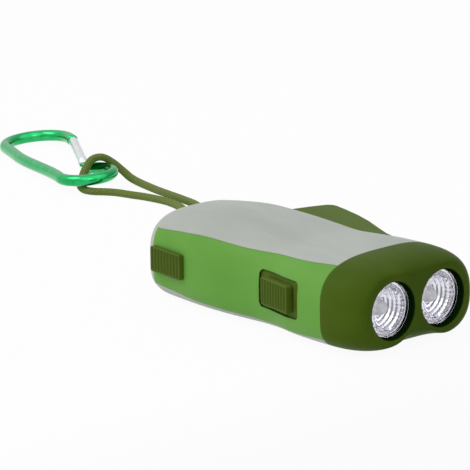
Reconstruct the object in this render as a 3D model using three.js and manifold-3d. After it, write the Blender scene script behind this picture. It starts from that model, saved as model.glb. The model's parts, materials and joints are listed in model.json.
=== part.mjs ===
// Squeeze-lever dynamo flashlight with two lenses, a wrist strap and a carabiner.
// Millimetres. +X points to the lenses, -Y is the side with the two sliders, +Y is the lever
// side, +Z is up. The origin is on the resting face, half way along the body.
import * as THREE from "three";
import { mergeVertices } from "three/addons/utils/BufferGeometryUtils.js";
import Module from "manifold-3d";

const wasm = await Module();
wasm.setup();

// Housing
const BODY_LENGTH = 105.4;
const HEAD_LENGTH = 15.9;
const FRONT_WIDTH = 53.6;
const CROWN = 16.4;
const AXIS_HEIGHT = 13.3;
const FLAT_DEPTH = 0.5;
const WALL = 1.8;
const GAP = 0.3;
const OVERRUN = 3;
const RING_POINTS = 32;
const TOP_EXPONENT = 3.0;
const BOTTOM_EXPONENT = 3.9;
// Shares of the body length, from the nose back to the tail.
const STATION_SHARES = [0.15, 0.247, 0.323, 0.398, 0.474, 0.55, 0.645, 0.759, 0.854, 0.92, 0.95, 0.972, 0.988, 1];
// Shares of half the front width, of the crown and of the axis height at those stations.
const WIDTH_SHARES = [1, 0.978, 0.937, 0.866, 0.84, 0.851, 0.869, 0.843, 0.784, 0.761, 0.735, 0.685, 0.595, 0.414];
const CROWN_SHARES = [0.921, 0.915, 0.896, 0.89, 0.933, 0.963, 0.982, 1, 0.951, 0.89, 0.855, 0.79, 0.65, 0.38];
const KEEL_SHARES = [1, 1, 1, 1, 1, 1, 1, 1, 1, 0.97, 0.91, 0.82, 0.68, 0.45];

// Side panels between the two covers, as heights above the resting face
const BAND_STATION_SHARES = [0.13, 0.16, 0.32, 0.51, 0.72, 0.91, 0.95];
const BAND_TOP = 24;
const BAND_TOP_SHARES = [1.045, 1.035, 1, 0.98, 0.99, 0.93, 0.92];
const BAND_BOTTOM = 5.8;
const BAND_BOTTOM_SHARES = [0.83, 0.85, 0.93, 0.98, 1.03, 1.1, 1.11];
const BAND_CORE_SHARE = 0.55;
const PANEL_END_BACK = BODY_LENGTH - 6;

// Lenses, reflectors and lamps
const LENS_OPENING = 18;
const LENS_SPACING = 21.4;
const RIM_WALL = 1.9;
const TUBE_WALL = 1.4;
const TUBE_DEPTH = 12.6;
const TOP_DIP = 1.0;
const BOTTOM_NOTCH = 3.4;
const HEAD_TONGUE = 2.6;
const TONGUE_WALL = 1.2;
const LENS_RECESS = 2.0;
const LENS_THICKNESS = 1.6;
const LENS_CLEARANCE = 0.25;
const REFLECTOR_DEPTH = TUBE_DEPTH - 4.6;
const REFLECTOR_WALL = 0.8;
const REFLECTOR_NECK = 3.5;
const LED_RADIUS = 2.5;
const LED_FLANGE = 2.9;
const LED_FLANGE_THICKNESS = 1;
const LED_HEIGHT = 8.4;
const LED_BOARD_WIDTH = 35;
const LED_BOARD_HEIGHT = 12;
const BOARD_THICKNESS = 1;

// Lever: its plan is drawn as it lies squeezed shut, then it is turned open by the stroke
const PIVOT_BACK = 26;
const PIVOT_SIDE = 17.5;
const LEVER_STROKE = 22;
const LEVER_BOTTOM = 6.8;
const LEVER_TOP = 21.5;
const LEVER_WALL = 1.8;
const LEVER_PROUD = 0.8;
const LEVER_EDGE_BACK = 34;
const FAN_THICKNESS = 1.4;
const FAN_SWEEP = 27;
const END_WALL_SWEEP = 20;
const LEVER_TIP_SWEEP = 33;
const HUB_RADIUS = 4;
const HUB_BOTTOM = 11.4;
const PIVOT_PIN_RADIUS = 1.5;
const SLOT_FRONT_BACK = 24.4;
const SLOT_END_BACK = BODY_LENGTH - 11.8;
const SLOT_CLEARANCE = 0.35;

// Lever spring
const SPRING_WIRE = 0.8;
const SPRING_RADIUS = 3.1;
const SPRING_TURNS = 4;
const SPRING_LEG = 3.6;

// Gear train
const RACK_MODULE = 0.8;
const RACK_FULL_TEETH = 157;
const PINION_TEETH = 10;
const PINION_ANGLE = 8.9;
const WHEEL_MODULE = 0.5;
const WHEEL_TEETH = 32;
const SECOND_PINION_TEETH = 10;
const ROTOR_PINION_TEETH = 8;
const SECOND_AXLE_ANGLE = -20;
const ROTOR_AXLE_ANGLE = -35;
const BACKLASH = 0.16;
const RACK_BOTTOM = 13.7;
const RACK_HEIGHT = 4.4;
const AXLE_RADIUS = 0.75;
const BORE_CLEARANCE = 0.1;
const WHEEL_BOTTOM = 3.4;
const WHEEL_THICKNESS = 1.6;
const SECOND_WHEEL_BOTTOM = 5.7;
const SECOND_WHEEL_THICKNESS = 1.4;
const RATCHET_BOTTOM = 7.8;
const RATCHET_HEIGHT = 2.2;
const RATCHET_RADIUS = 4.4;
const RATCHET_WALL = 0.6;
const RATCHET_TEETH = 12;
const RATCHET_DEPTH = 0.6;
const PAWLS = 3;
const GEAR_HUB = 1.6;

// Generator
const MAGNET_RADIUS = 7.5;
const MAGNET_BORE = 3.4;
const MAGNET_HEIGHT = 6;
const MAGNET_BOTTOM = 8.7;
const ROTOR_HUB_RADIUS = 3.1;
const AIR_GAP = 0.5;
const CORE_WIDTH = 3;
const CORE_HEIGHT = 4;
const CORE_TIP = 3;
const YOKE_REACH = 16;
const YOKE_WIDTH = 4;
const COIL_RADIUS = 5.6;
const COIL_LENGTH = 11;
const BOBBIN_FLANGE = 1;
const BOBBIN_WALL = 0.7;
const BRIDGE_BOTTOM = 18.5;
const BRIDGE_THICKNESS = 1.2;
const BRIDGE_MARGIN = 2.7;
const POST_RADIUS = 2;
const BRIDGE_POSTS = [
  { name: "bridge_screw_1", back: 73, side: 16.2 },
  { name: "bridge_screw_2", back: 79.5, side: -6.5 },
  { name: "bridge_screw_3", back: 54, side: -14.6 },
];
const SMALL_SCREW_RADIUS = 0.7;
const SMALL_SCREW_HEAD = 1.5;
const SMALL_SCREW_HEAD_HEIGHT = 0.6;
const SMALL_SCREW_LENGTH = 6;

// Electrics
const BOARD_BOTTOM = 10.7;
const BOARD_FRONT_BACK = 18.8;
const BOARD_LENGTH = 21;
const BOARD_NEAR_SIDE = -13.2;
const BOARD_FAR_SIDE = 7;
const BOARD_TAB_LENGTH = 10;
const BOARD_TAB_REACH = 7.2;
const BOARD_POSTS = [
  { back: 20.8, side: 5.1 },
  { back: 39.1, side: 6.2 },
  { back: 38.2, side: -15.2 },
];
const CELL_RADIUS = 10;
const CELL_HEIGHT = 3.2;
const CELL_BACK = 31;
const CELL_SIDE = -3.5;
const CRADLE_WALL = 1.2;
const CRADLE_HEIGHT = 2;
const CRADLE_GAP_WIDTH = 8;
const CLIP_WIDTH = 4;
const CLIP_THICKNESS = 0.4;
const CLIP_RISE = 1.8;
const CLIP_FOOT = 1.5;

// Power switch on the near side
const SWITCH_BACK = 36.5;
const SWITCH_HEIGHT = AXIS_HEIGHT + 0.8;
const BEZEL_LENGTH = 16.6;
const BEZEL_HEIGHT = 11.4;
const BEZEL_CORNER = 1.8;
const BEZEL_RECESS = 0.8;
const BEZEL_FLANGE = 1;
const BEZEL_CATCH_SHARE = 0.55;
const KNOB_LENGTH = 12;
const KNOB_HEIGHT = 8.8;
const KNOB_CORNER = 0.9;
const KNOB_PROUD = 1.7;
const KNOB_RIBS = 9;
const RIB_DEPTH = 0.45;
const RIB_MARGIN = 1;
const STEM_LENGTH = 4.4;
const STEM_HEIGHT = 3;
const SWITCH_TRAVEL = 2;
const FORK_DEPTH = 1.4;
const FORK_WIDTH = 2.2;
const ACTUATOR_WIDTH = 1.6;
const ACTUATOR_HEIGHT = 2;
const SLIDE_SWITCH_LENGTH = 9;
const SLIDE_SWITCH_HEIGHT = 4;
const SLIDE_SWITCH_DEPTH = 4;
const SLIDE_SWITCH_WALL = 0.6;

// Lever lock on the near side
const LOCK_BACK = BODY_LENGTH - 16.2;
const LOCK_HEIGHT = AXIS_HEIGHT + 0.5;
const LOCK_KNOB_LENGTH = 13.8;
const LOCK_KNOB_HEIGHT = 7.5;
const LOCK_TRAVEL = 2.7;
const LOCK_STEM_LENGTH = 4;
const LOCK_STEM_HEIGHT = 3.4;
const LOCK_SLIDER_THICKNESS = 1.4;
const LOCK_TOOTH_SIDE = -13;
const LOCK_TOOTH_WIDTH = 1.6;
const LOCK_TOOTH_DEPTH = 1.6;
const LOCK_HOOK_THICKNESS = 1.1;
const LOCK_HOOK_BOTTOM = 18.5;
const LOCK_ARM_WIDTH = 2.2;

// Fasteners of the housing
const SCREW_RADIUS = 1;
const SCREW_HEAD = 2;
const SCREW_HEAD_HEIGHT = 1.3;
const SCREW_SEAT = 2.4;
const SCREW_TOP = 15;
const BOSS_RADIUS = 2.8;
const BOSS_TOP = 9;
const COUNTERBORE = 2.3;
const FRONT_SCREW_BACK = HEAD_LENGTH + 5.9;
const TAIL_SCREW_BACK = BODY_LENGTH - 7.8;
const HOUSING_SCREWS = [
  { name: "housing_screw_1", back: FRONT_SCREW_BACK, side: -16.4 },
  { name: "housing_screw_2", back: FRONT_SCREW_BACK, side: 10.5 },
  { name: "housing_screw_3", back: TAIL_SCREW_BACK, side: -11 },
  { name: "housing_screw_4", back: TAIL_SCREW_BACK, side: 11 },
];

// Strap anchor, strap and carabiner
const STRAP_PIN_BACK = BODY_LENGTH - 6.4;
const STRAP_PIN_RADIUS = 1.25;
const STRAP_PIN_BOSS = 2.6;
const STRAP_SLOT_WIDTH = 8.8;
const STRAP_SLOT_HEIGHT = 3.6;
const STRAP_RADIUS = 0.9;
const STRAP_SIDES = 8;
const STRAP_STEPS = 78;
// The strap's route from the pin over the carabiner and back, with its heights above the surface.
const STRAP_WRAP = 2.5;
const STRAP_ROUTE_OUT = [
  [-56, 2.7, 12.2], [-60.5, 5, 8.6], [-66, 10, 4.2], [-73, 17.3, 1.4], [-84, 29.4, 1], [-98, 45, 1],
  [-113, 61.3, 1], [-121, 67, 1], [-131, 69.4, 1], [-140, 70.8, 1], [-146, 71.8, 1], [-152, 73.1, 1],
  [-158, 74.6, 1], [-163, 75.6, 1.4], [-167.6, 75.4, 3.6], [-171, 73, 7], [-173, 70, 8.9],
  [-174.4, 66.8, 8.4],
];
const STRAP_ROUTE_BACK = [
  [-174.4, 63.6, 5.4], [-173.2, 60.8, 2.4], [-170.6, 58, 1.1], [-167.2, 55.7, 1], [-163.8, 54.6, 1],
  [-160.6, 55.4, 1], [-157.6, 57.7, 1], [-154, 59.7, 1], [-148, 61.2, 1], [-141.5, 62.8, 1],
  [-131, 63.4, 1], [-121.5, 60.6, 1], [-114, 54.2, 1], [-99, 37.6, 1], [-85, 21.6, 1], [-75, 10.6, 1.4],
  [-67, 3.2, 4.4], [-61, -0.8, 8.8], [-56, -2.5, 12.2],
];
const BAR_RADIUS = 2;
const BAR_SIDES = 10;
const BAR_STEPS = 38;
const CARABINER_BIG_RADIUS = 11.8;
const CARABINER_SMALL_RADIUS = 9.2;
const CARABINER_SPAN = 58;
const CARABINER_SMALL_SIDE = 1.4;
const CARABINER_NOSE = 4.5;
// Where the spine leaves its straight run, and the two pulls of its bend, as shares of the span.
const SPINE_BEND_SHARES = [0.29, 0.5, 0.74];
const CARABINER_BACK = 276.2;
const CARABINER_SIDE = 84.1;
const CARABINER_TURN = -25.4;
const CARABINER_ROLL = 4;
const CARABINER_LIFT = 1.9;
const CARABINER_END_ANGLE = 165;
const GATE_RADIUS = 1.7;
const GATE_PIN_RADIUS = 0.8;

const NOSE_X = BODY_LENGTH / 2;
const fromNose = (back) => NOSE_X - back;
const JOINT_X = fromNose(HEAD_LENGTH);
const TAIL_X = -BODY_LENGTH / 2;
const radians = THREE.MathUtils.degToRad;

// Materials
const finish = (color, roughness, metalness = 0) =>
  new THREE.MeshStandardMaterial({ color, roughness, metalness });
const greyShell = () => finish("#b4b7b0", 0.5);
const greenPanel = () => finish("#62a13c", 0.45);
const oliveShell = () => finish("#4c611f", 0.45);
const blackPlastic = () => finish("#222426", 0.55);
const whiteNylon = () => finish("#e6e4da", 0.5);
const steel = () => finish("#b9bcc0", 0.3, 1);
const copper = () => finish("#b4622d", 0.35, 1);

const flashlight = new THREE.Group();

// Solids

// A closed geometry with its shared corners merged and its faces turned outwards.
function closed(geometry) {
  const bare = geometry.clone();
  bare.deleteAttribute("normal");
  bare.deleteAttribute("uv");
  const merged = mergeVertices(bare, 1e-4);
  const place = merged.attributes.position;
  const index = merged.index;
  const corner = [new THREE.Vector3(), new THREE.Vector3(), new THREE.Vector3()];
  let volume = 0;
  for (let i = 0; i < index.count; i += 3) {
    corner.forEach((point, k) => point.fromBufferAttribute(place, index.getX(i + k)));
    volume += corner[0].dot(corner[1].clone().cross(corner[2]));
  }
  if (volume < 0) {
    for (let i = 0; i < index.count; i += 3) {
      const second = index.getX(i + 1);
      index.setX(i + 1, index.getX(i + 2));
      index.setX(i + 2, second);
    }
  }
  return merged;
}

function solid(geometry) {
  const mesh = closed(geometry);
  return new wasm.Manifold(new wasm.Mesh({
    numProp: 3,
    vertProperties: Float32Array.from(mesh.attributes.position.array),
    triVerts: Uint32Array.from(mesh.index.array),
  }));
}

function geometryOf(body) {
  const mesh = body.getMesh();
  const geometry = new THREE.BufferGeometry();
  geometry.setAttribute("position", new THREE.BufferAttribute(Float32Array.from(mesh.vertProperties), 3));
  geometry.setIndex(new THREE.BufferAttribute(Uint32Array.from(mesh.triVerts), 1));
  geometry.computeVertexNormals();
  return geometry;
}

const joined = (...bodies) => bodies.reduce((whole, body) => whole.add(body));
const cut = (body, ...tools) => tools.reduce((rest, tool) => rest.subtract(tool), body);

function addPart(name, body, material, parent = flashlight) {
  const mesh = new THREE.Mesh(geometryOf(body), material);
  mesh.name = name;
  parent.add(mesh);
  return mesh;
}

function block(x0, x1, y0, y1, z0, z1) {
  const geometry = new THREE.BoxGeometry(x1 - x0, y1 - y0, z1 - z0);
  geometry.translate((x0 + x1) / 2, (y0 + y1) / 2, (z0 + z1) / 2);
  return solid(geometry);
}

// An upright cylinder, or a cone frustum when a top radius is given.
function rod(x, y, z0, z1, radius, sides = 12, topRadius = radius) {
  const geometry = new THREE.CylinderGeometry(topRadius, radius, z1 - z0, sides);
  geometry.rotateX(Math.PI / 2);
  geometry.translate(x, y, (z0 + z1) / 2);
  return solid(geometry);
}

function rodAlongY(x, z, y0, y1, radius, sides = 20) {
  const geometry = new THREE.CylinderGeometry(radius, radius, y1 - y0, sides);
  geometry.translate(x, (y0 + y1) / 2, z);
  return solid(geometry);
}

// An outline in the XY plane, raised from z0 to z1.
function prism(points, z0, z1) {
  const geometry = new THREE.ExtrudeGeometry(new THREE.Shape(points), {
    depth: z1 - z0, bevelEnabled: false, curveSegments: 8,
  });
  geometry.translate(0, 0, z0);
  return solid(geometry);
}

// An outline given in the XZ plane, carried from y0 to y1.
function prismAlongY(points, y0, y1) {
  const geometry = new THREE.ExtrudeGeometry(new THREE.Shape(points), {
    depth: y1 - y0, bevelEnabled: false,
  });
  geometry.rotateX(Math.PI / 2);
  geometry.translate(0, y1, 0);
  return solid(geometry);
}

// A profile of [radius, x] points turned about an axis along X through (y, z).
function turnedAlongX(profile, y, z, sides = 20) {
  const points = profile.map(([radius, x]) => new THREE.Vector2(radius, x));
  const geometry = new THREE.LatheGeometry(points, sides);
  geometry.rotateZ(-Math.PI / 2);
  geometry.translate(0, y, z);
  return solid(geometry);
}

// A round wire or tube along a curve.
function wire(curve, radius, sides, steps) {
  const section = Array.from({ length: sides }, (_, i) => {
    const turn = (i / sides) * 2 * Math.PI;
    return new THREE.Vector2(radius * Math.cos(turn), radius * Math.sin(turn));
  });
  return solid(new THREE.ExtrudeGeometry(new THREE.Shape(section), {
    steps, extrudePath: curve, bevelEnabled: false,
  }));
}

// Rings with equal numbers of points, skinned, with a fan over each end.
function loft(rings) {
  const count = rings[0].length;
  const corners = rings.flat();
  const faces = [];
  for (let r = 0; r + 1 < rings.length; r += 1) {
    for (let i = 0; i < count; i += 1) {
      const next = (i + 1) % count;
      const [a, b] = [r * count + i, r * count + next];
      faces.push(a, b, b + count, a, b + count, a + count);
    }
  }
  [0, rings.length - 1].forEach((r, end) => {
    const centre = corners.length;
    const middle = rings[r].reduce((sum, p) => sum.add(p), new THREE.Vector3());
    corners.push(middle.divideScalar(count));
    for (let i = 0; i < count; i += 1) {
      const pair = [r * count + i, r * count + (i + 1) % count];
      faces.push(centre, pair[1 - end], pair[end]);
    }
  });
  const geometry = new THREE.BufferGeometry().setFromPoints(corners);
  geometry.setIndex(faces);
  return solid(geometry);
}

// A smooth value between stations, with slopes taken from the neighbours.
function along(stations, values, at) {
  const last = stations.length - 1;
  const place = THREE.MathUtils.clamp(at, stations[0], stations[last]);
  let i = 0;
  while (i < last - 1 && place > stations[i + 1]) i += 1;
  const slope = (k) => {
    const before = Math.max(k - 1, 0);
    const after = Math.min(k + 1, last);
    return (values[after] - values[before]) / (stations[after] - stations[before]);
  };
  const span = stations[i + 1] - stations[i];
  const t = (place - stations[i]) / span;
  const [t2, t3] = [t * t, t * t * t];
  return (2 * t3 - 3 * t2 + 1) * values[i] + (t3 - 2 * t2 + t) * span * slope(i)
    + (3 * t2 - 2 * t3) * values[i + 1] + (t3 - t2) * span * slope(i + 1);
}

const shareAt = (x) => (NOSE_X - x) / BODY_LENGTH;
const halfWidth = (x) => (FRONT_WIDTH / 2) * along(STATION_SHARES, WIDTH_SHARES, shareAt(x));
const crown = (x) => CROWN * along(STATION_SHARES, CROWN_SHARES, shareAt(x));
const keel = (x) => AXIS_HEIGHT * along(STATION_SHARES, KEEL_SHARES, shareAt(x));
const bandTop = (x) => BAND_TOP * along(BAND_STATION_SHARES, BAND_TOP_SHARES, shareAt(x));
const bandBottom = (x) => BAND_BOTTOM * along(BAND_STATION_SHARES, BAND_BOTTOM_SHARES, shareAt(x));

// One cross-section of the body: rounded corners above and below, and a flat to rest on.
function bodyRing(x, inset = 0, sectionX = x) {
  const points = [];
  for (let i = 0; i < RING_POINTS; i += 1) {
    const turn = ((i + 0.5) / RING_POINTS) * 2 * Math.PI;
    const [c, s] = [Math.cos(turn), Math.sin(turn)];
    const exponent = s > 0 ? TOP_EXPONENT : BOTTOM_EXPONENT;
    const y = (halfWidth(sectionX) - inset) * Math.sign(c) * Math.abs(c) ** (2 / exponent);
    const rise = Math.abs(s) ** (2 / exponent);
    const low = keel(sectionX) - inset;
    const z = s > 0 ? (crown(sectionX) - inset) * rise : -Math.min(low, (low + FLAT_DEPTH) * rise);
    points.push(new THREE.Vector3(x, y, AXIS_HEIGHT + z));
  }
  return points;
}

// Rings from the tail to the joint with the head, one at each station.
function bodySolid(inset, tailX, frontX) {
  const places = STATION_SHARES.map((share) => fromNose(share * BODY_LENGTH));
  const inside = places.filter((x) => x > tailX + OVERRUN / 10 && x < JOINT_X - OVERRUN / 10).reverse();
  return loft([tailX, ...inside, JOINT_X, frontX].filter((x, i, all) => i === 0 || x > all[i - 1])
    .map((x) => bodyRing(x, inset, Math.min(x, JOINT_X))));
}

const bodyOuter = bodySolid(0, TAIL_X, JOINT_X - GAP / 2);
const bodyCore = bodySolid(WALL / 2, TAIL_X + WALL / 2, JOINT_X - GAP / 2);
const bodyHollow = bodySolid(WALL, TAIL_X + WALL, JOINT_X + OVERRUN);
const bodyClear = bodySolid(WALL + GAP, TAIL_X + WALL + GAP, JOINT_X + OVERRUN);
const bodyShell = cut(bodyOuter, bodyHollow);

// Where the body's outline crosses a height, as a distance from the middle.
function sideAt(x, z) {
  const rise = z - AXIS_HEIGHT;
  const exponent = rise > 0 ? TOP_EXPONENT : BOTTOM_EXPONENT;
  const reach = rise > 0 ? crown(x) : keel(x) + FLAT_DEPTH;
  return halfWidth(x) * (1 - Math.min(1, Math.abs(rise) / reach) ** exponent) ** (1 / exponent);
}

// A side panel's wedge of the cross-section: two lines from a core through the seams,
// each moved outwards by an offset.
function bandRing(x, side, offset) {
  const sectionX = Math.min(x, JOINT_X);
  const core = new THREE.Vector2(BAND_CORE_SHARE * halfWidth(sectionX), AXIS_HEIGHT);
  const lines = [bandTop(sectionX), bandBottom(sectionX)]
    .map((z) => new THREE.Vector2(sideAt(sectionX, z), z).sub(core).normalize());
  const normals = [new THREE.Vector2(-lines[0].y, lines[0].x), new THREE.Vector2(lines[1].y, -lines[1].x)];
  const shift = offset / (1 + normals[0].dot(normals[1]));
  const apex = core.clone().addScaledVector(normals[0], shift).addScaledVector(normals[1], shift);
  const far = lines.map((line) => apex.clone().addScaledVector(line, FRONT_WIDTH));
  return [apex, ...far].map((point) => new THREE.Vector3(x, side * point.x, point.y));
}

const across = FRONT_WIDTH / 2 + OVERRUN;
const partHalf = GAP / 2;
const BAND_STEPS = 8;

function bandSolid(side, offset) {
  const start = fromNose(PANEL_END_BACK) - offset;
  return loft(Array.from({ length: BAND_STEPS + 1 }, (_, i) =>
    bandRing(THREE.MathUtils.lerp(start, JOINT_X + OVERRUN, i / BAND_STEPS), side, offset)));
}

const panelRegion = (side) => bandSolid(side, -partHalf);

function coverRegion(side) {
  const half = side > 0
    ? [AXIS_HEIGHT + partHalf, AXIS_HEIGHT + CROWN + OVERRUN]
    : [-OVERRUN, AXIS_HEIGHT - partHalf];
  return cut(block(TAIL_X - OVERRUN, JOINT_X + OVERRUN, -across, across, ...half),
    bandSolid(1, partHalf), bandSolid(-1, partHalf));
}

// Bosses inside a cover: they run into its own wall and stay clear of its neighbours.
function bossesIn(cover, region, bosses) {
  const all = joined(...bosses);
  return joined(cover, all.intersect(bodyCore).intersect(region), all.intersect(bodyClear));
}

// Gear geometry

const involute = (angle) => Math.tan(angle) - angle;
const PRESSURE = radians(20);
const ARC_GRID = radians(4);

// Half the angle that a tooth fills at a radius; inward teeth widen outwards.
function halfTooth(radius, teeth, module, inward) {
  const pitch = (teeth * module) / 2;
  const base = pitch * Math.cos(PRESSURE);
  const angle = Math.acos(Math.min(1, base / Math.max(radius, base)));
  const turn = involute(PRESSURE) - involute(angle);
  return Math.PI / (2 * teeth) - BACKLASH / (4 * pitch) + (inward ? -turn : turn);
}

const polar = (radius, angle) => new THREE.Vector2(radius * Math.cos(angle), radius * Math.sin(angle));

// A spur gear's outline about the origin, with one tooth centred on the phase angle.
function gearOutline(teeth, module, phase) {
  const pitch = (teeth * module) / 2;
  const [root, tip] = [pitch - 1.25 * module, pitch + 0.95 * module];
  const levels = teeth < 20 ? [root, pitch, tip] : [root, tip];
  const points = [];
  for (let i = 0; i < teeth; i += 1) {
    const centre = phase + (i / teeth) * 2 * Math.PI;
    const half = (radius) => Math.max(halfTooth(radius, teeth, module, false), 0.004);
    levels.forEach((radius) => points.push(polar(radius, centre - half(radius))));
    [...levels].reverse().forEach((radius) => points.push(polar(radius, centre + half(radius))));
  }
  return points;
}

const moved = (points, x, y) => points.map((point) => new THREE.Vector2(point.x + x, point.y + y));

// The pitch share at which a gear's tooth passes a direction, from 0 to 1.
const toothShare = (direction, phase, teeth) => ((direction - phase) * teeth) / (2 * Math.PI);

// The phase that lets an outside gear mesh with its neighbour, seen in a direction from it.
function meshPhase(direction, phase, teeth, ownTeeth) {
  const share = 0.5 - toothShare(direction, phase, teeth);
  return direction + Math.PI - (2 * Math.PI * share) / ownTeeth;
}

// Places worked out from the gear sizes
const pivot = new THREE.Vector2(fromNose(PIVOT_BACK), PIVOT_SIDE);
const RACK_PITCH = (RACK_FULL_TEETH * RACK_MODULE) / 2;
const RACK_ROOT = RACK_PITCH + 1.2 * RACK_MODULE;
const RACK_TIP = RACK_PITCH - 0.95 * RACK_MODULE;
const LEVER_REACH = RACK_ROOT + LEVER_WALL;
const PINION_PITCH = (PINION_TEETH * RACK_MODULE) / 2;
const pinionDirection = Math.PI + radians(PINION_ANGLE);
const pairDistance = (a, b) => ((a + b) * WHEEL_MODULE) / 2;
const step = (from, distance, angle) => from.clone().add(polar(distance, angle));
const axle1 = step(pivot, RACK_PITCH - PINION_PITCH, pinionDirection);
const axle2 = step(axle1, pairDistance(WHEEL_TEETH, SECOND_PINION_TEETH), radians(SECOND_AXLE_ANGLE));
const axle3 = step(axle2, pairDistance(WHEEL_TEETH, ROTOR_PINION_TEETH), radians(ROTOR_AXLE_ANGLE));

// Phases at rest, with the lever open
const rackPhase = Math.PI - radians(LEVER_STROKE);
const pinionPhase = pinionDirection
  - (2 * Math.PI * (toothShare(pinionDirection, rackPhase, RACK_FULL_TEETH) + 0.5)) / PINION_TEETH;
const wheelPhase = 0;
const secondPinionPhase = meshPhase(radians(SECOND_AXLE_ANGLE), wheelPhase, WHEEL_TEETH, SECOND_PINION_TEETH);
const secondWheelPhase = 0;
const rotorPinionPhase = meshPhase(radians(ROTOR_AXLE_ANGLE), secondWheelPhase, WHEEL_TEETH, ROTOR_PINION_TEETH);

// Covers and panels

const at = ({ back, side }) => [fromNose(back), side];
const strapPin = [fromNose(STRAP_PIN_BACK), 0];
const strapSlot = block(TAIL_X - OVERRUN, fromNose(STRAP_PIN_BACK) - STRAP_PIN_RADIUS,
  -STRAP_SLOT_WIDTH / 2, STRAP_SLOT_WIDTH / 2,
  AXIS_HEIGHT - STRAP_SLOT_HEIGHT / 2, AXIS_HEIGHT + STRAP_SLOT_HEIGHT / 2);
const headroom = AXIS_HEIGHT + CROWN;
const leverSlot = block(fromNose(SLOT_END_BACK), fromNose(SLOT_FRONT_BACK), SCREW_HEAD, across,
  LEVER_BOTTOM - SLOT_CLEARANCE, LEVER_TOP + SLOT_CLEARANCE);
const pinHole = (x, y, radius, z0, z1) => rod(x, y, z0, z1, radius + BORE_CLEARANCE, 10);

function makeTopCover() {
  const strapBossBottom = AXIS_HEIGHT + STRAP_SLOT_HEIGHT / 2;
  const bosses = HOUSING_SCREWS.map((place) => rod(...at(place), BOSS_TOP + GAP, headroom, BOSS_RADIUS));
  bosses.push(rod(pivot.x, pivot.y, LEVER_TOP + GAP, headroom, HUB_RADIUS - LEVER_WALL / 2));
  bosses.push(rod(...strapPin, strapBossBottom, headroom, STRAP_PIN_BOSS));
  const holes = HOUSING_SCREWS.map((place) => pinHole(...at(place), SCREW_RADIUS, 0, SCREW_TOP + GAP));
  const pinTop = pivotPinTop() + GAP;
  holes.push(pinHole(pivot.x, pivot.y, PIVOT_PIN_RADIUS, 0, pinTop));
  holes.push(pinHole(...strapPin, STRAP_PIN_RADIUS, 0, strapPinTop() + GAP));
  const region = coverRegion(1);
  const shell = bodyShell.intersect(region);
  const cover = cut(shell, leverSlot);
  addPart("top_cover", cut(bossesIn(cover, region, bosses), strapSlot, ...holes), greyShell());
}

function makeBottomCover() {
  const upTo = (place, top, radius) => rod(...at(place), 0, top, radius);
  const region = coverRegion(-1);
  const shell = bodyShell.intersect(region);
  const bosses = [
    ...HOUSING_SCREWS.map((place) => upTo(place, BOSS_TOP, BOSS_RADIUS)),
    ...BRIDGE_POSTS.map((place) => upTo(place, BRIDGE_BOTTOM - GAP, POST_RADIUS)),
    ...BOARD_POSTS.map((place) => upTo(place, BOARD_BOTTOM - GAP, POST_RADIUS)),
    ...[axle1, axle2, axle3].map(({ x, y }) => rod(x, y, 0, WHEEL_BOTTOM - GAP, GEAR_HUB)),
    rod(pivot.x, pivot.y, 0, springBottom() - GAP, HUB_RADIUS),
    rod(...strapPin, 0, AXIS_HEIGHT - STRAP_SLOT_HEIGHT / 2, STRAP_PIN_BOSS),
    cellCradle(),
  ];
  const holes = [
    ...HOUSING_SCREWS.map((place) => pinHole(...at(place), SCREW_RADIUS, -OVERRUN, headroom)),
    ...HOUSING_SCREWS.map((place) => upTo(place, SCREW_SEAT, COUNTERBORE)
      .add(rod(...at(place), -OVERRUN, GAP, COUNTERBORE))),
    ...BRIDGE_POSTS.map((place) => pinHole(...at(place), SMALL_SCREW_RADIUS,
      BRIDGE_BOTTOM - SMALL_SCREW_LENGTH, headroom)),
    ...[axle1, axle2, axle3].map(({ x, y }) => pinHole(x, y, AXLE_RADIUS, WALL, headroom)),
    pinHole(pivot.x, pivot.y, PIVOT_PIN_RADIUS, WALL, headroom),
    pinHole(...strapPin, STRAP_PIN_RADIUS, WALL, headroom),
  ];
  const cover = cut(shell, leverSlot);
  addPart("bottom_cover", cut(bossesIn(cover, region, bosses), strapSlot, ...holes), greyShell());
}

// A low ring wall round the coin cell, open at two sides for its clip.
function cellCradle() {
  const [x, y] = [fromNose(CELL_BACK), CELL_SIDE];
  const inner = CELL_RADIUS + GAP;
  const wall = cut(rod(x, y, 0, WALL + CRADLE_HEIGHT, inner + CRADLE_WALL, 36),
    rod(x, y, WALL, headroom, inner, 36));
  const reach = inner + CRADLE_WALL + OVERRUN;
  return cut(wall, block(x - CRADLE_GAP_WIDTH / 2, x + CRADLE_GAP_WIDTH / 2, y - reach, y + reach,
    WALL, headroom));
}

// A rounded rectangle in local X and Z, as points.
function roundedOutline(length, height, corner) {
  const shape = new THREE.Shape();
  const [x, z] = [length / 2 - corner, height / 2 - corner];
  shape.absarc(x, z, corner, 0, Math.PI / 2);
  shape.absarc(-x, z, corner, Math.PI / 2, Math.PI);
  shape.absarc(-x, -z, corner, Math.PI, 1.5 * Math.PI);
  shape.absarc(x, -z, corner, 1.5 * Math.PI, 2 * Math.PI);
  return shape.getPoints(4);
}

// A frame on the near wall: local X runs forward along the wall and local Y runs inwards.
function wallFrame(back, height) {
  const x = fromNose(back);
  const run = BEZEL_LENGTH / 2;
  const rise = halfWidth(x + run) - halfWidth(x - run);
  const frame = new THREE.Group();
  frame.position.set(x, -halfWidth(x), height);
  frame.rotation.z = -Math.atan2(rise, 2 * run);
  frame.updateMatrixWorld();
  return frame;
}

const switchFrame = wallFrame(SWITCH_BACK, SWITCH_HEIGHT);
const lockFrame = wallFrame(LOCK_BACK, LOCK_HEIGHT);
flashlight.add(switchFrame, lockFrame);

// Carries a local solid of a wall frame into the flashlight's own frame.
function placed(body, frame) {
  const geometry = geometryOf(body);
  geometry.applyMatrix4(frame.matrixWorld);
  return solid(geometry);
}

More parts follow.
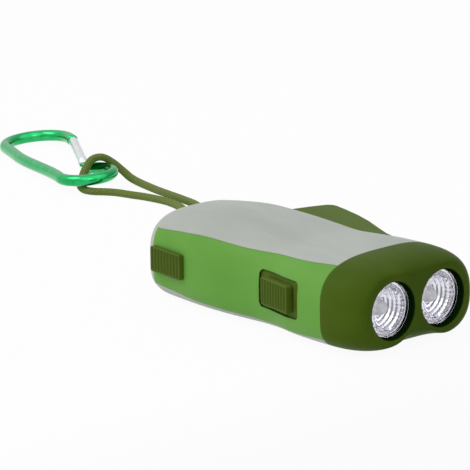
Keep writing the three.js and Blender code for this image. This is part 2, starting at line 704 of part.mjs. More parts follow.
function makeRightPanel() {
  const window = prismAlongY(roundedOutline(BEZEL_LENGTH, BEZEL_HEIGHT, BEZEL_CORNER), -OVERRUN, OVERRUN);
  const half = LOCK_STEM_LENGTH / 2 + GAP;
  const stemSlot = block(-half, half + LOCK_TRAVEL, -OVERRUN, OVERRUN,
    -LOCK_STEM_HEIGHT / 2 - GAP, LOCK_STEM_HEIGHT / 2 + GAP);
  const panel = bodyShell.intersect(panelRegion(-1));
  addPart("side_panel_right", cut(panel, placed(window, switchFrame), placed(stemSlot, lockFrame)),
    greenPanel());
}

function makeLeftPanel() {
  const panel = bodyShell.intersect(panelRegion(1));
  addPart("side_panel_left", cut(panel, leverSlot), greenPanel());
}

// Head

// The front outline: a circle round each lens, with a dip above and a notch below.
function frontHeight(y, radius, dip) {
  const centre = LENS_SPACING / 2;
  const beyond = Math.abs(y) - centre;
  if (beyond > 0) return Math.sqrt(Math.max(radius * radius - beyond * beyond, 0));
  return radius - (dip / 2) * (1 + Math.cos((Math.PI * y) / centre));
}

function headRing(x, inset) {
  const share = THREE.MathUtils.clamp((x - JOINT_X) / HEAD_LENGTH, 0, 1);
  const kept = (1 - share ** 2.4) ** (1 / 1.9);
  const radius = LENS_OPENING / 2 + RIM_WALL - inset;
  return bodyRing(JOINT_X, inset).map((point, i) => {
    const turn = ((i + 0.5) / RING_POINTS) * 2 * Math.PI;
    const y = (LENS_SPACING / 2 + radius) * Math.cos(turn);
    const side = Math.sign(Math.sin(turn));
    const z = AXIS_HEIGHT + side * frontHeight(y, radius, side > 0 ? TOP_DIP : BOTTOM_NOTCH);
    return new THREE.Vector3(x, THREE.MathUtils.lerp(y, point.y, kept), THREE.MathUtils.lerp(z, point.z, kept));
  });
}

const HEAD_STEP_SHARES = [0, 0.25, 0.46, 0.64, 0.78, 0.88, 0.955, 1];
const lensSides = [-LENS_SPACING / 2, LENS_SPACING / 2];
const boardFront = fromNose(TUBE_DEPTH + GAP * 2);

function makeHeadShell() {
  const start = JOINT_X + GAP / 2;
  const rings = HEAD_STEP_SHARES.map((share) => headRing(start + share * (NOSE_X - start), 0));
  const inner = HEAD_STEP_SHARES.slice(0, -3)
    .map((share) => headRing(start + share * (NOSE_X - start), WALL));
  inner.unshift(bodyRing(start - OVERRUN, WALL, JOINT_X));
  const straight = (x0, x1, inset) => loft([bodyRing(x0, inset, JOINT_X), bodyRing(x1, inset, JOINT_X)]);
  const tongue = cut(joined(straight(JOINT_X - HEAD_TONGUE, start + WALL / 2, WALL + GAP),
    straight(start + GAP, start + WALL, WALL / 2)),
  straight(JOINT_X - OVERRUN, start + OVERRUN, WALL + GAP + TONGUE_WALL));
  const outer = loft(rings);
  const bar = (radius, x0, x1, y) => turnedAlongX([[0, x0], [radius, x0], [radius, x1], [0, x1]],
    y, AXIS_HEIGHT, 24);
  const tubeEnd = fromNose(TUBE_DEPTH);
  const tubes = lensSides.map((y) => bar(LENS_OPENING / 2 + TUBE_WALL, tubeEnd, NOSE_X - WALL, y));
  const bores = lensSides.map((y) => bar(LENS_OPENING / 2, tubeEnd - OVERRUN, NOSE_X + OVERRUN, y));
  const webs = cut(joined(cut(outer, loft(inner)), tongue, ...tubes), ...bores);
  addPart("head_shell", webs, oliveShell());
}

function makeOptics() {
  const lensBack = fromNose(LENS_RECESS + LENS_THICKNESS);
  const lensRadius = LENS_OPENING / 2 - LENS_CLEARANCE;
  ["right", "left"].forEach((side, i) => {
    const y = lensSides[i];
    const front = lensBack + LENS_THICKNESS;
    const bulge = LENS_THICKNESS / 3;
    addPart(`lens_${side}`, turnedAlongX([
      [0, lensBack], [lensRadius, lensBack], [lensRadius, front - bulge],
      [lensRadius * 0.86, front - bulge / 2], [lensRadius * 0.5, front], [0, front + bulge / 4],
    ], y, AXIS_HEIGHT), new THREE.MeshStandardMaterial({
      color: "#e8eef2", roughness: 0.05, transparent: true, opacity: 0.35,
    }));
    addPart(`reflector_${side}`, reflectorSolid(lensBack - GAP, lensRadius, y),
      finish("#d9dcdf", 0.12, 1));
    addPart(`led_${side}`, ledSolid(y), finish("#f4f4ee", 0.15));
  });
  const half = LED_BOARD_WIDTH / 2;
  addPart("led_board", block(boardFront - BOARD_THICKNESS, boardFront, -half, half,
    AXIS_HEIGHT - LED_BOARD_HEIGHT / 2, AXIS_HEIGHT + LED_BOARD_HEIGHT / 2), finish("#1f6b3a", 0.5));
}

// A cup between the lens and the lamp, its wall following a parabola.
function reflectorSolid(rimX, rimRadius, y) {
  const steps = 3;
  const curve = (inset) => Array.from({ length: steps + 1 }, (_, i) => {
    const share = i / steps;
    const radius = THREE.MathUtils.lerp(REFLECTOR_NECK, rimRadius, Math.sqrt(share));
    return [radius - inset, rimX - REFLECTOR_DEPTH * (1 - share)];
  });
  const outside = curve(0);
  const inside = curve(REFLECTOR_WALL).reverse();
  return turnedAlongX([...outside, ...inside, outside[0]], y, AXIS_HEIGHT);
}

// A lamp with a flange and a round dome, standing on its board.
function ledSolid(y) {
  const base = boardFront + GAP / 2;
  const domeBase = base + LED_HEIGHT - LED_RADIUS;
  const dome = [0, 1, 2, 3, 4].map((i) => {
    const turn = (i / 4) * (Math.PI / 2);
    return [LED_RADIUS * Math.cos(turn), domeBase + LED_RADIUS * Math.sin(turn)];
  });
  dome[4][0] = 0;
  return turnedAlongX([[0, base], [LED_FLANGE, base], [LED_FLANGE, base + LED_FLANGE_THICKNESS],
    [LED_RADIUS, base + LED_FLANGE_THICKNESS], ...dome], y, AXIS_HEIGHT, 14);
}

// Lever and its pivot

const closedEdgeY = (x) => halfWidth(x) + LEVER_PROUD - PIVOT_SIDE;

// The grip edge, from the hub to the tip corner, as it lies when squeezed shut.
function gripEdge(inset) {
  const steps = 7;
  const start = fromNose(LEVER_EDGE_BACK);
  const reach = LEVER_REACH - inset;
  const points = [new THREE.Vector2(0, HUB_RADIUS - inset)];
  let end = pivot.x - reach;
  for (let i = 0; i < 4; i += 1) end = pivot.x - Math.sqrt(reach ** 2 - (closedEdgeY(end) - inset) ** 2);
  for (let i = 0; i <= steps; i += 1) {
    const x = THREE.MathUtils.lerp(start, end, i / steps);
    points.push(new THREE.Vector2(x - pivot.x, closedEdgeY(x) - inset));
  }
  return points;
}

// Points on an arc about the pivot, on one angular grid, so that stacked arcs share facets.
function arcPoints(radius, from, to) {
  const [low, high] = [Math.min(from, to), Math.max(from, to)];
  const angles = [low];
  for (let i = Math.floor(low / ARC_GRID) + 1; i * ARC_GRID < high - ARC_GRID / 9; i += 1) {
    angles.push(i * ARC_GRID);
  }
  angles.push(high);
  return (from < to ? angles : angles.reverse()).map((angle) => polar(radius, angle));
}

// The teeth inside the far arc, with a solid back of one wall.
function rackOutline(from, to) {
  const pitchAngle = (2 * Math.PI) / RACK_FULL_TEETH;
  const inner = [];
  for (let i = Math.ceil((from - Math.PI) / pitchAngle); i * pitchAngle + Math.PI < to; i += 1) {
    const centre = Math.PI + i * pitchAngle;
    const rootHalf = halfTooth(RACK_ROOT, RACK_FULL_TEETH, RACK_MODULE, true);
    const tipHalf = halfTooth(RACK_TIP, RACK_FULL_TEETH, RACK_MODULE, true);
    if (centre - rootHalf < from || centre + rootHalf > to) continue;
    inner.push(polar(RACK_ROOT, centre - rootHalf), polar(RACK_TIP, centre - tipHalf),
      polar(RACK_TIP, centre + tipHalf), polar(RACK_ROOT, centre + rootHalf));
  }
  return [polar(RACK_ROOT, from), ...inner, polar(RACK_ROOT, to),
    ...arcPoints(LEVER_REACH - GAP, to, from)];
}

function leverSolid() {
  const edge = gripEdge(0);
  const corner = edge[edge.length - 1];
  const cornerAngle = Math.atan2(corner.y, corner.x);
  const fanEnd = cornerAngle + radians(FAN_SWEEP);
  const tip = Math.PI + radians(LEVER_TIP_SWEEP);
  const fanBottom = LEVER_TOP - FAN_THICKNESS;
  const inner = gripEdge(LEVER_WALL).reverse();
  const backArc = (from, to, z0, z1) => prism([...arcPoints(LEVER_REACH, from, to),
    ...arcPoints(RACK_ROOT, to, from)], z0, z1);
  const fan = prism([...edge, ...arcPoints(LEVER_REACH, cornerAngle, fanEnd).slice(1),
    polar(HUB_RADIUS, fanEnd), new THREE.Vector2(0, -HUB_RADIUS / 2), new THREE.Vector2(HUB_RADIUS / 2, 0)],
  fanBottom, LEVER_TOP);
  const grip = prism([...edge, ...inner], LEVER_BOTTOM, LEVER_TOP);
  const endWall = backArc(cornerAngle, cornerAngle + radians(END_WALL_SWEEP), LEVER_BOTTOM, LEVER_TOP);
  const arm = backArc(cornerAngle, tip, RACK_BOTTOM, fanBottom - GAP);
  const armUnderFan = backArc(cornerAngle, fanEnd, RACK_BOTTOM, LEVER_TOP);
  const rack = prism(rackOutline(pinionDirection - radians(PINION_ANGLE / 2), tip),
    RACK_BOTTOM, RACK_BOTTOM + RACK_HEIGHT);
  const hub = rod(0, 0, HUB_BOTTOM, LEVER_TOP, HUB_RADIUS);
  const below = rod(0, 0, 0, HUB_BOTTOM, HUB_RADIUS + GAP, 24);
  const bore = pinHole(0, 0, PIVOT_PIN_RADIUS, 0, headroom);
  const whole = cut(joined(fan, grip, endWall, arm, armUnderFan, rack), below);
  return cut(joined(whole, hub, springLug()), bore, lockNotch());
}

// A peg beside the hub that the spring's free leg pushes.
function springLug() {
  const turn = springLegAngle() - legHalfAngle();
  const lug = polar(lugRadius(), turn);
  return rod(lug.x, lug.y, springTop() - SPRING_WIRE * 2, LEVER_TOP - FAN_THICKNESS / 2, SPRING_WIRE, 10);
}

const lugRadius = () => HUB_RADIUS + GAP + SPRING_WIRE;
const legHalfAngle = () => (SPRING_WIRE * 1.5 + GAP) / lugRadius();
const springLegAngle = () => Math.PI + radians(LEVER_STROKE);
const springBottom = () => LEVER_BOTTOM + GAP;
const springTop = () => HUB_BOTTOM - GAP;
const pivotPinTop = () => LEVER_TOP + LEVER_WALL;
const strapPinTop = () => AXIS_HEIGHT + STRAP_SLOT_HEIGHT;

// The notch in the far arc that the lock's tooth enters when the lever is shut.
function lockNotch() {
  const side = LOCK_TOOTH_SIDE - PIVOT_SIDE;
  const slack = GAP + LOCK_TRAVEL / 5;
  const half = LOCK_TOOTH_WIDTH / 2 + slack;
  return block(-LEVER_REACH - OVERRUN, lockSeatX() - pivot.x + GAP, side - half, side + half,
    LOCK_HOOK_BOTTOM - GAP, LEVER_TOP - FAN_THICKNESS);
}

// Where the shut lever's arc passes the lock's tooth, and where the engaged tooth ends.
function arcX(side) {
  return pivot.x - Math.sqrt(LEVER_REACH ** 2 - (side - PIVOT_SIDE) ** 2);
}
const lockSeatX = () => arcX(LOCK_TOOTH_SIDE) + LOCK_TOOTH_DEPTH;

function makeLever() {
  const group = new THREE.Group();
  group.position.set(pivot.x, pivot.y, 0);
  group.rotation.z = -radians(LEVER_STROKE);
  flashlight.add(group);
  addPart("lever", leverSolid(), finish("#5a7030", 0.5), group);
  addPart("lever_pin", rod(pivot.x, pivot.y, WALL + GAP, pivotPinTop(), PIVOT_PIN_RADIUS), steel());
  addPart("lever_spring", springSolid(), steel());
}

// A torsion spring round the pin, with one leg against the cover and one behind the lever's peg.
function springSolid() {
  const low = springBottom() + SPRING_WIRE / 2;
  const high = springTop() - SPRING_WIRE / 2;
  const endAngle = springLegAngle();
  const steps = SPRING_TURNS * 7;
  const turns = 2 * Math.PI * SPRING_TURNS;
  const points = Array.from({ length: steps + 1 }, (_, i) => {
    const spot = polar(SPRING_RADIUS, endAngle - turns * (1 - i / steps));
    return new THREE.Vector3(spot.x, spot.y, THREE.MathUtils.lerp(low, high, i / steps));
  });
  const leg = (point, sign) => {
    const outward = new THREE.Vector3(-point.y, point.x, 0).normalize().multiplyScalar(sign * SPRING_LEG);
    return point.clone().add(outward);
  };
  const path = [leg(points[0], -1), ...points, leg(points[steps], 1)]
    .map((point) => point.add(new THREE.Vector3(pivot.x, pivot.y, 0)));
  return wire(new THREE.CatmullRomCurve3(path, false, "centripetal"), SPRING_WIRE / 2, 5, steps + 6);
}

// Gear train

function makeGearTrain() {
  const bore = (place) => pinHole(place.x, place.y, AXLE_RADIUS, 0, headroom);
  const gear = (place, teeth, module, phase, z0, z1) =>
    prism(moved(gearOutline(teeth, module, phase), place.x, place.y), z0, z1);
  const ratchetTop = RATCHET_BOTTOM + RATCHET_HEIGHT;
  const wheelTop = WHEEL_BOTTOM + WHEEL_THICKNESS;
  const cup = cut(rod(axle1.x, axle1.y, RATCHET_BOTTOM, ratchetTop, RATCHET_RADIUS, 24),
    prism(moved(sawOutline(), axle1.x, axle1.y), RATCHET_BOTTOM + RATCHET_WALL, headroom));
  const driveWheel = cut(joined(
    gear(axle1, WHEEL_TEETH, WHEEL_MODULE, wheelPhase, WHEEL_BOTTOM, wheelTop),
    rod(axle1.x, axle1.y, WHEEL_BOTTOM, RATCHET_BOTTOM + RATCHET_WALL / 2, GEAR_HUB),
    cup), bore(axle1));
  addPart("drive_wheel", driveWheel, whiteNylon());

  const rackTop = RACK_BOTTOM + RACK_HEIGHT;
  const pinion = cut(joined(
    gear(axle1, PINION_TEETH, RACK_MODULE, pinionPhase, RACK_BOTTOM, rackTop),
    rod(axle1.x, axle1.y, ratchetTop - GAP, RACK_BOTTOM + GAP, GEAR_HUB),
    pawlStar(RATCHET_BOTTOM + RATCHET_WALL + GAP, ratchetTop)), bore(axle1));
  addPart("ratchet_pinion", pinion, blackPlastic());

  const secondTop = SECOND_WHEEL_BOTTOM + SECOND_WHEEL_THICKNESS;
  addPart("second_gear", cut(joined(
    gear(axle2, SECOND_PINION_TEETH, WHEEL_MODULE, secondPinionPhase, WHEEL_BOTTOM, SECOND_WHEEL_BOTTOM + GAP),
    gear(axle2, WHEEL_TEETH, WHEEL_MODULE, secondWheelPhase, SECOND_WHEEL_BOTTOM, secondTop),
    rod(axle2.x, axle2.y, secondTop - GAP, secondTop + WHEEL_THICKNESS, GEAR_HUB)), bore(axle2)), whiteNylon());

  const magnetTop = MAGNET_BOTTOM + MAGNET_HEIGHT;
  addPart("rotor_hub", cut(joined(
    gear(axle3, ROTOR_PINION_TEETH, WHEEL_MODULE, rotorPinionPhase, SECOND_WHEEL_BOTTOM - GAP, secondTop + GAP),
    rod(axle3.x, axle3.y, secondTop, MAGNET_BOTTOM, MAGNET_BORE + GAP * 2),
    rod(axle3.x, axle3.y, MAGNET_BOTTOM - GAP, magnetTop + WALL, ROTOR_HUB_RADIUS)), bore(axle3)),
  blackPlastic());
  addPart("ring_magnet", cut(
    rod(axle3.x, axle3.y, MAGNET_BOTTOM + GAP, magnetTop, MAGNET_RADIUS, 28),
    rod(axle3.x, axle3.y, 0, headroom, MAGNET_BORE, 16)), finish("#3c3d40", 0.45, 0.6));

  [axle1, axle2, axle3].forEach((place, i) => {
    addPart(`gear_axle_${i + 1}`, rod(place.x, place.y, WALL + GAP, BRIDGE_BOTTOM + BRIDGE_THICKNESS,
      AXLE_RADIUS, 14), steel());
  });
}

// The one-way teeth inside the drive wheel's cup.
function sawOutline() {
  const outer = RATCHET_RADIUS - RATCHET_WALL;
  const points = [];
  for (let i = 0; i < RATCHET_TEETH; i += 1) {
    const turn = (i / RATCHET_TEETH) * 2 * Math.PI;
    points.push(polar(outer - RATCHET_DEPTH, turn), polar(outer, turn));
  }
  return points;
}

// The pinion's sprung pawls, which rest in the cup's one-way teeth.
function pawlStar(z0, z1) {
  const reach = RATCHET_RADIUS - RATCHET_WALL - RATCHET_DEPTH - GAP;
  const points = [];
  for (let i = 0; i < PAWLS; i += 1) {
    const turn = (i / PAWLS) * 2 * Math.PI;
    points.push(polar(reach, turn), polar(reach, turn + 0.5), polar(reach * 0.62, turn + 1.1),
      polar(reach * 0.62, turn + 1.9));
  }
  return prism(moved(points, axle1.x, axle1.y), z0, z1);
}

// Generator and the plate over the gears

function makeGenerator() {
  const middle = MAGNET_BOTTOM + MAGNET_HEIGHT / 2;
  const [low, high] = [middle - CORE_HEIGHT / 2, middle + CORE_HEIGHT / 2];
  const inner = MAGNET_RADIUS + AIR_GAP;
  const arm = inner + CORE_WIDTH;
  const yokeX = axle3.x + YOKE_REACH;
  const core = cut(
    block(axle3.x - CORE_TIP, yokeX + YOKE_WIDTH / 2, axle3.y - arm, axle3.y + arm, low, high),
    block(axle3.x - CORE_TIP - OVERRUN, yokeX - YOKE_WIDTH / 2, axle3.y - inner + AIR_GAP,
      axle3.y + inner - AIR_GAP, low - OVERRUN, high + OVERRUN),
    rod(axle3.x, axle3.y, low - OVERRUN, high + OVERRUN, inner, 32));
  addPart("stator_core", core, finish("#6d6f72", 0.5, 0.8));

  const half = COIL_LENGTH / 2;
  const hole = block(yokeX - YOKE_WIDTH / 2 - GAP, yokeX + YOKE_WIDTH / 2 + GAP,
    axle3.y - half - OVERRUN, axle3.y + half + OVERRUN, low - GAP, high + GAP);
  const sleeve = Math.hypot(YOKE_WIDTH, CORE_HEIGHT) / 2 + BOBBIN_WALL;
  const reel = (y0, y1, radius) => rodAlongY(yokeX, middle, axle3.y + y0, axle3.y + y1, radius, 20);
  addPart("coil_bobbin", cut(joined(reel(-half, half, sleeve),
    reel(-half, BOBBIN_FLANGE - half, COIL_RADIUS),
    reel(half - BOBBIN_FLANGE, half, COIL_RADIUS)), hole), blackPlastic());
  const wound = half - BOBBIN_FLANGE - GAP / 2;
  addPart("coil_winding", cut(reel(-wound, wound, COIL_RADIUS - GAP),
    reel(-half, half, sleeve + BORE_CLEARANCE * 2)), copper());
}

function makeBridge() {
  const spots = [...BRIDGE_POSTS.map((place) => new THREE.Vector2(...at(place))), axle1, axle2, axle3];
  const top = BRIDGE_BOTTOM + BRIDGE_THICKNESS;
  const pads = spots.map(({ x, y }) => rod(x, y, BRIDGE_BOTTOM, top, BRIDGE_MARGIN));
  const web = (a, b) => {
    const side = b.clone().sub(a).normalize().multiplyScalar(BRIDGE_MARGIN);
    const out = new THREE.Vector2(-side.y, side.x);
    return prism([a.clone().add(out), a.clone().sub(out), b.clone().sub(out), b.clone().add(out)],
      BRIDGE_BOTTOM, top);
  };
  const [p1, p2, p3] = spots;
  const plate = joined(prism([p1, p2, p3], BRIDGE_BOTTOM, top), ...pads,
    web(p1, p2), web(p2, p3), web(p3, p1), web(axle1, p1), web(axle1, p2));
  const holes = [
    ...BRIDGE_POSTS.map((place) => pinHole(...at(place), SMALL_SCREW_RADIUS, 0, headroom)),
    ...[axle1, axle2, axle3].map(({ x, y }) => pinHole(x, y, AXLE_RADIUS, 0, headroom)),
  ];
  const reachLimit = cut(rod(pivot.x, pivot.y, 0, headroom, LEVER_REACH * 2, 48),
    rod(pivot.x, pivot.y, -OVERRUN, headroom + OVERRUN, RACK_TIP - GAP, 96));
  addPart("gear_bridge", cut(plate, reachLimit, ...holes), finish("#8d9197", 0.4, 0.9));
  BRIDGE_POSTS.forEach((place) => {
    addPart(place.name, joined(
      rod(...at(place), BRIDGE_BOTTOM - SMALL_SCREW_LENGTH + GAP * 2, top + GAP / 2, SMALL_SCREW_RADIUS, 8),
      rod(...at(place), top + GAP / 10, top + GAP / 10 + SMALL_SCREW_HEAD_HEIGHT - GAP, SMALL_SCREW_HEAD, 12)),
    steel());
  });
}

// Electrics

function makeElectrics() {
  const boardTop = BOARD_BOTTOM + BOARD_THICKNESS;
  const [rear, front] = [fromNose(BOARD_FRONT_BACK + BOARD_LENGTH), fromNose(BOARD_FRONT_BACK)];
  const tab = fromNose(SWITCH_BACK);
  const tabHalf = BOARD_TAB_LENGTH / 2;
  addPart("main_board", joined(
    block(rear, front, BOARD_NEAR_SIDE, BOARD_FAR_SIDE, BOARD_BOTTOM, boardTop),
    block(Math.max(rear, tab - tabHalf), tab + tabHalf, BOARD_NEAR_SIDE - BOARD_TAB_REACH,
      BOARD_NEAR_SIDE + GAP, BOARD_BOTTOM, boardTop)), finish("#1f6b3a", 0.5));
  const [x, y] = [fromNose(CELL_BACK), CELL_SIDE];
  const cellBottom = WALL + GAP;
  const cellTop = cellBottom + CELL_HEIGHT;
  addPart("coin_cell", joined(rod(x, y, cellBottom, cellTop - CELL_HEIGHT / 4, CELL_RADIUS, 28),
    rod(x, y, cellBottom, cellTop, CELL_RADIUS * 0.88, 28)), steel());
  addPart("cell_clip", clipSolid(x, y, cellTop), finish("#c9a24a", 0.35, 1));
  const drop = boardTop + GAP;
  const lead = (points, radius = 0.45) => wire(new THREE.CatmullRomCurve3(
    points.map((point) => new THREE.Vector3(...point))), radius, 5, 10);
  const ledBack = boardFront - BOARD_THICKNESS;
  const leads = [
    { name: "lamp_wire_red", color: "#b3261e", side: -4 },
    { name: "lamp_wire_black", color: "#1b1b1d", side: 4 },
  ];
  leads.forEach(({ name, color, side }) => addPart(name, lead([
    [ledBack - GAP, side, AXIS_HEIGHT + WALL], [ledBack - WALL, side, AXIS_HEIGHT + WALL],
    [front + WALL, side, drop + WALL * 1.5], [front - WALL, side, drop + WALL],
    [front - WALL, side, drop]]), finish(color, 0.5)));
  const coilX = axle3.x + YOKE_REACH;
  const coilTop = MAGNET_BOTTOM + MAGNET_HEIGHT / 2 + COIL_RADIUS;
  [-1, 1].forEach((hand) => {
    const side = axle3.y + hand * (COIL_LENGTH / 2 - BOBBIN_FLANGE / 2);
    addPart(hand < 0 ? "coil_wire_1" : "coil_wire_2", lead([
      [coilX, side, coilTop + GAP], [coilX + WALL, side, coilTop + WALL],
      [rear - WALL, side, drop + WALL], [rear + WALL, side, drop + WALL / 2],
      [rear + WALL, side, drop]]), copper());
  });
}

// A spring strip across the top of the cell, with a foot on the cover at each end.
function clipSolid(x, y, cellTop) {
  const half = CELL_RADIUS + GAP * 2;
  const base = WALL + GAP;
  const low = cellTop + GAP;
  const high = low + CLIP_RISE;
  const outside = [[-half - CLIP_FOOT, base], [-half - CLIP_FOOT, base + CLIP_THICKNESS],
    [-half - CLIP_THICKNESS, base + CLIP_THICKNESS], [-half - CLIP_THICKNESS, high], [0, low + CLIP_THICKNESS],
    [half + CLIP_THICKNESS, high], [half + CLIP_THICKNESS, base + CLIP_THICKNESS],
    [half + CLIP_FOOT, base + CLIP_THICKNESS], [half + CLIP_FOOT, base]];
  const inside = [[half, base], [half, high - CLIP_THICKNESS], [0, low], [-half, high - CLIP_THICKNESS],
    [-half, base]];
  const points = [...outside, ...inside].map(([along_, z]) => new THREE.Vector2(along_, z));
  const strip = prismAlongY(points, -CLIP_WIDTH / 2, CLIP_WIDTH / 2);
  const geometry = geometryOf(strip);
  geometry.rotateZ(Math.PI / 2);
  geometry.translate(x, y, 0);
  return solid(geometry);
}

// Sliders on the near side

// A slider's pad: a block with upright ribs across its outer face.
function ribbedPad(length, height, outer, inner) {
  const body = prismAlongY(roundedOutline(length, height, KNOB_CORNER), outer, inner);
  const span = length - 2 * RIB_MARGIN;
  const pitch = span / KNOB_RIBS;
  const grooves = Array.from({ length: KNOB_RIBS }, (_, i) => {
    const middle = -span / 2 + (i + 0.5) * pitch;
    return prism([
      new THREE.Vector2(middle - pitch / 3, outer - RIB_DEPTH),
      new THREE.Vector2(middle + pitch / 3, outer - RIB_DEPTH),
      new THREE.Vector2(middle, outer + RIB_DEPTH),
    ], -height / 2 + RIB_MARGIN / 2, height / 2 - RIB_MARGIN / 2);
  });
  return cut(body, ...grooves);
}

function makeSwitch() {
  const flangeIn = WALL + GAP * 2 + BEZEL_FLANGE;
  const stem = (length, height, y0, y1) => block(-length / 2, length / 2, y0, y1, -height / 2, height / 2);
  const slot = block(-STEM_LENGTH / 2 - GAP, STEM_LENGTH / 2 + GAP + SWITCH_TRAVEL, -OVERRUN,
    flangeIn + OVERRUN, -STEM_HEIGHT / 2 - GAP, STEM_HEIGHT / 2 + GAP);
  const bezel = joined(
    prismAlongY(roundedOutline(BEZEL_LENGTH - 2 * GAP, BEZEL_HEIGHT - 2 * GAP, BEZEL_CORNER - GAP),
      BEZEL_RECESS, flangeIn),
    stem(BEZEL_LENGTH + 2 * BEZEL_FLANGE, BEZEL_HEIGHT * BEZEL_CATCH_SHARE, WALL + GAP * 2, flangeIn));
  addPart("switch_bezel", cut(bezel, slot), oliveShell(), switchFrame);

  const stemEnd = flangeIn + FORK_DEPTH;
  const fork = stem(FORK_WIDTH, STEM_HEIGHT + OVERRUN, stemEnd - FORK_DEPTH, stemEnd + OVERRUN);
  addPart("switch_knob", cut(joined(
    ribbedPad(KNOB_LENGTH, KNOB_HEIGHT, -KNOB_PROUD, BEZEL_RECESS - GAP),
    stem(STEM_LENGTH, STEM_HEIGHT, 0, stemEnd)), fork), oliveShell(), switchFrame);

  const canFront = stemEnd + GAP;
  const canBack = canFront + SLIDE_SWITCH_DEPTH;
  const pocket = block(-ACTUATOR_WIDTH / 2 - GAP, ACTUATOR_WIDTH / 2 + GAP + SWITCH_TRAVEL,
    canFront - OVERRUN, canBack - SLIDE_SWITCH_WALL, -ACTUATOR_HEIGHT / 2 - GAP, ACTUATOR_HEIGHT / 2 + GAP);
  addPart("slide_switch_case", cut(stem(SLIDE_SWITCH_LENGTH, SLIDE_SWITCH_HEIGHT, canFront, canBack), pocket),
    steel(), switchFrame);
  addPart("slide_switch_actuator", stem(ACTUATOR_WIDTH, ACTUATOR_HEIGHT, stemEnd - FORK_DEPTH + GAP,
    canBack - SLIDE_SWITCH_WALL - GAP), blackPlastic(), switchFrame);
}

function makeLock() {
  const stemEnd = WALL + GAP * 3;
  const sliderIn = stemEnd + LOCK_SLIDER_THICKNESS;
  const half = LOCK_STEM_LENGTH / 2;
  addPart("lock_knob", joined(
    ribbedPad(LOCK_KNOB_LENGTH, LOCK_KNOB_HEIGHT, -KNOB_PROUD - GAP, -GAP),
    block(-half, half, -GAP * 2, stemEnd, -LOCK_STEM_HEIGHT / 2, LOCK_STEM_HEIGHT / 2)),
  oliveShell(), lockFrame);

  const inverse = lockFrame.matrixWorld.clone().invert();
  const local = (x, y) => new THREE.Vector3(x, y, LOCK_HEIGHT).applyMatrix4(inverse);
  const tooth = local(lockSeatX() - LOCK_TRAVEL, LOCK_TOOTH_SIDE);
  const hookLow = LOCK_HOOK_BOTTOM - LOCK_HEIGHT;
  const hookHigh = hookLow + LOCK_HOOK_THICKNESS;
  const armFront = tooth.x - LOCK_TOOTH_DEPTH;
  addPart("lock_hook", joined(
    block(-LOCK_KNOB_LENGTH / 2, armFront, stemEnd + GAP, sliderIn + GAP, -LOCK_STEM_HEIGHT, hookHigh),
    block(armFront - LOCK_ARM_WIDTH, armFront, stemEnd + GAP, tooth.y + LOCK_TOOTH_WIDTH / 2,
      hookLow, hookHigh),
    block(armFront - GAP, tooth.x, tooth.y - LOCK_TOOTH_WIDTH / 2, tooth.y + LOCK_TOOTH_WIDTH / 2,
      hookLow, hookHigh)), blackPlastic(), lockFrame);
}

// Fasteners and the strap's pin

function makeFasteners() {
  HOUSING_SCREWS.forEach((place) => {
    const seat = SCREW_SEAT - GAP / 2;
    addPart(place.name, joined(
      rod(...at(place), seat - SCREW_HEAD_HEIGHT, seat, SCREW_HEAD, 12),
      rod(...at(place), seat - GAP, SCREW_TOP, SCREW_RADIUS, 8)), steel());
  });
  addPart("strap_pin", rod(...strapPin, WALL + GAP, strapPinTop(), STRAP_PIN_RADIUS), steel());
}

// Carabiner and strap

// The bar's centre line: from the nose round the big end, along the spine, to the hinge.
function carabinerPath() {
  const [big, small, far] = [CARABINER_BIG_RADIUS, CARABINER_SMALL_RADIUS, CARABINER_SPAN];
  const low = CARABINER_SMALL_SIDE - small;
  const path = new THREE.Path();
  path.moveTo(CARABINER_NOSE, big);
  path.lineTo(0, big);
  path.absarc(0, 0, big, Math.PI / 2, 1.5 * Math.PI);
  const [bend, firstPull, secondPull] = SPINE_BEND_SHARES.map((share) => far * share);
  path.lineTo(bend, -big);
  path.bezierCurveTo(firstPull, -big, secondPull, low, far, low);
  path.absarc(far, CARABINER_SMALL_SIDE, small, -Math.PI / 2, radians(CARABINER_END_ANGLE));
  return path;
}

function makeCarabiner() {
  const frame = new THREE.Group();
  const tilt = Math.asin(CARABINER_LIFT / CARABINER_SPAN);
  const roll = radians(CARABINER_ROLL);
  const points = carabinerPath().getSpacedPoints(BAR_STEPS).map(({ x, y }) => new THREE.Vector3(x, y, 0));
  const heights = points.map(({ x, y }) => x * Math.sin(tilt) + y * Math.sin(roll) * Math.cos(tilt));
  frame.position.set(fromNose(CARABINER_BACK), CARABINER_SIDE, BAR_RADIUS - Math.min(...heights));
  frame.rotation.order = "ZYX";
  frame.rotation.set(roll, -tilt, radians(CARABINER_TURN));
  flashlight.add(frame);
  const curve = new THREE.CatmullRomCurve3(points, false, "centripetal");
  const bar = wire(curve, BAR_RADIUS, BAR_SIDES, BAR_STEPS);
  const [nose, hinge] = [points[0], points[points.length - 1]];
  const tongueHalf = GATE_RADIUS * 0.5;
  const fork = rod(hinge.x, hinge.y, -tongueHalf - GAP, tongueHalf + GAP, BAR_RADIUS + GAP * 2, 14);
  const eye = rod(hinge.x, hinge.y, -BAR_RADIUS * 0.95, BAR_RADIUS * 0.95, BAR_RADIUS * 1.05, 14);
  const pinCut = pinHole(hinge.x, hinge.y, GATE_PIN_RADIUS, -OVERRUN, OVERRUN);
  addPart("carabiner_body", cut(joined(bar, eye), fork, pinCut), finish("#35a866", 0.22, 0.9), frame);
  addPart("carabiner_gate", gateSolid(nose, hinge, tongueHalf), finish("#d8dadd", 0.25, 1), frame);
  addPart("gate_pin", rod(hinge.x, hinge.y, -BAR_RADIUS * 0.9, BAR_RADIUS * 0.9, GATE_PIN_RADIUS, 10),
    steel(), frame);
}

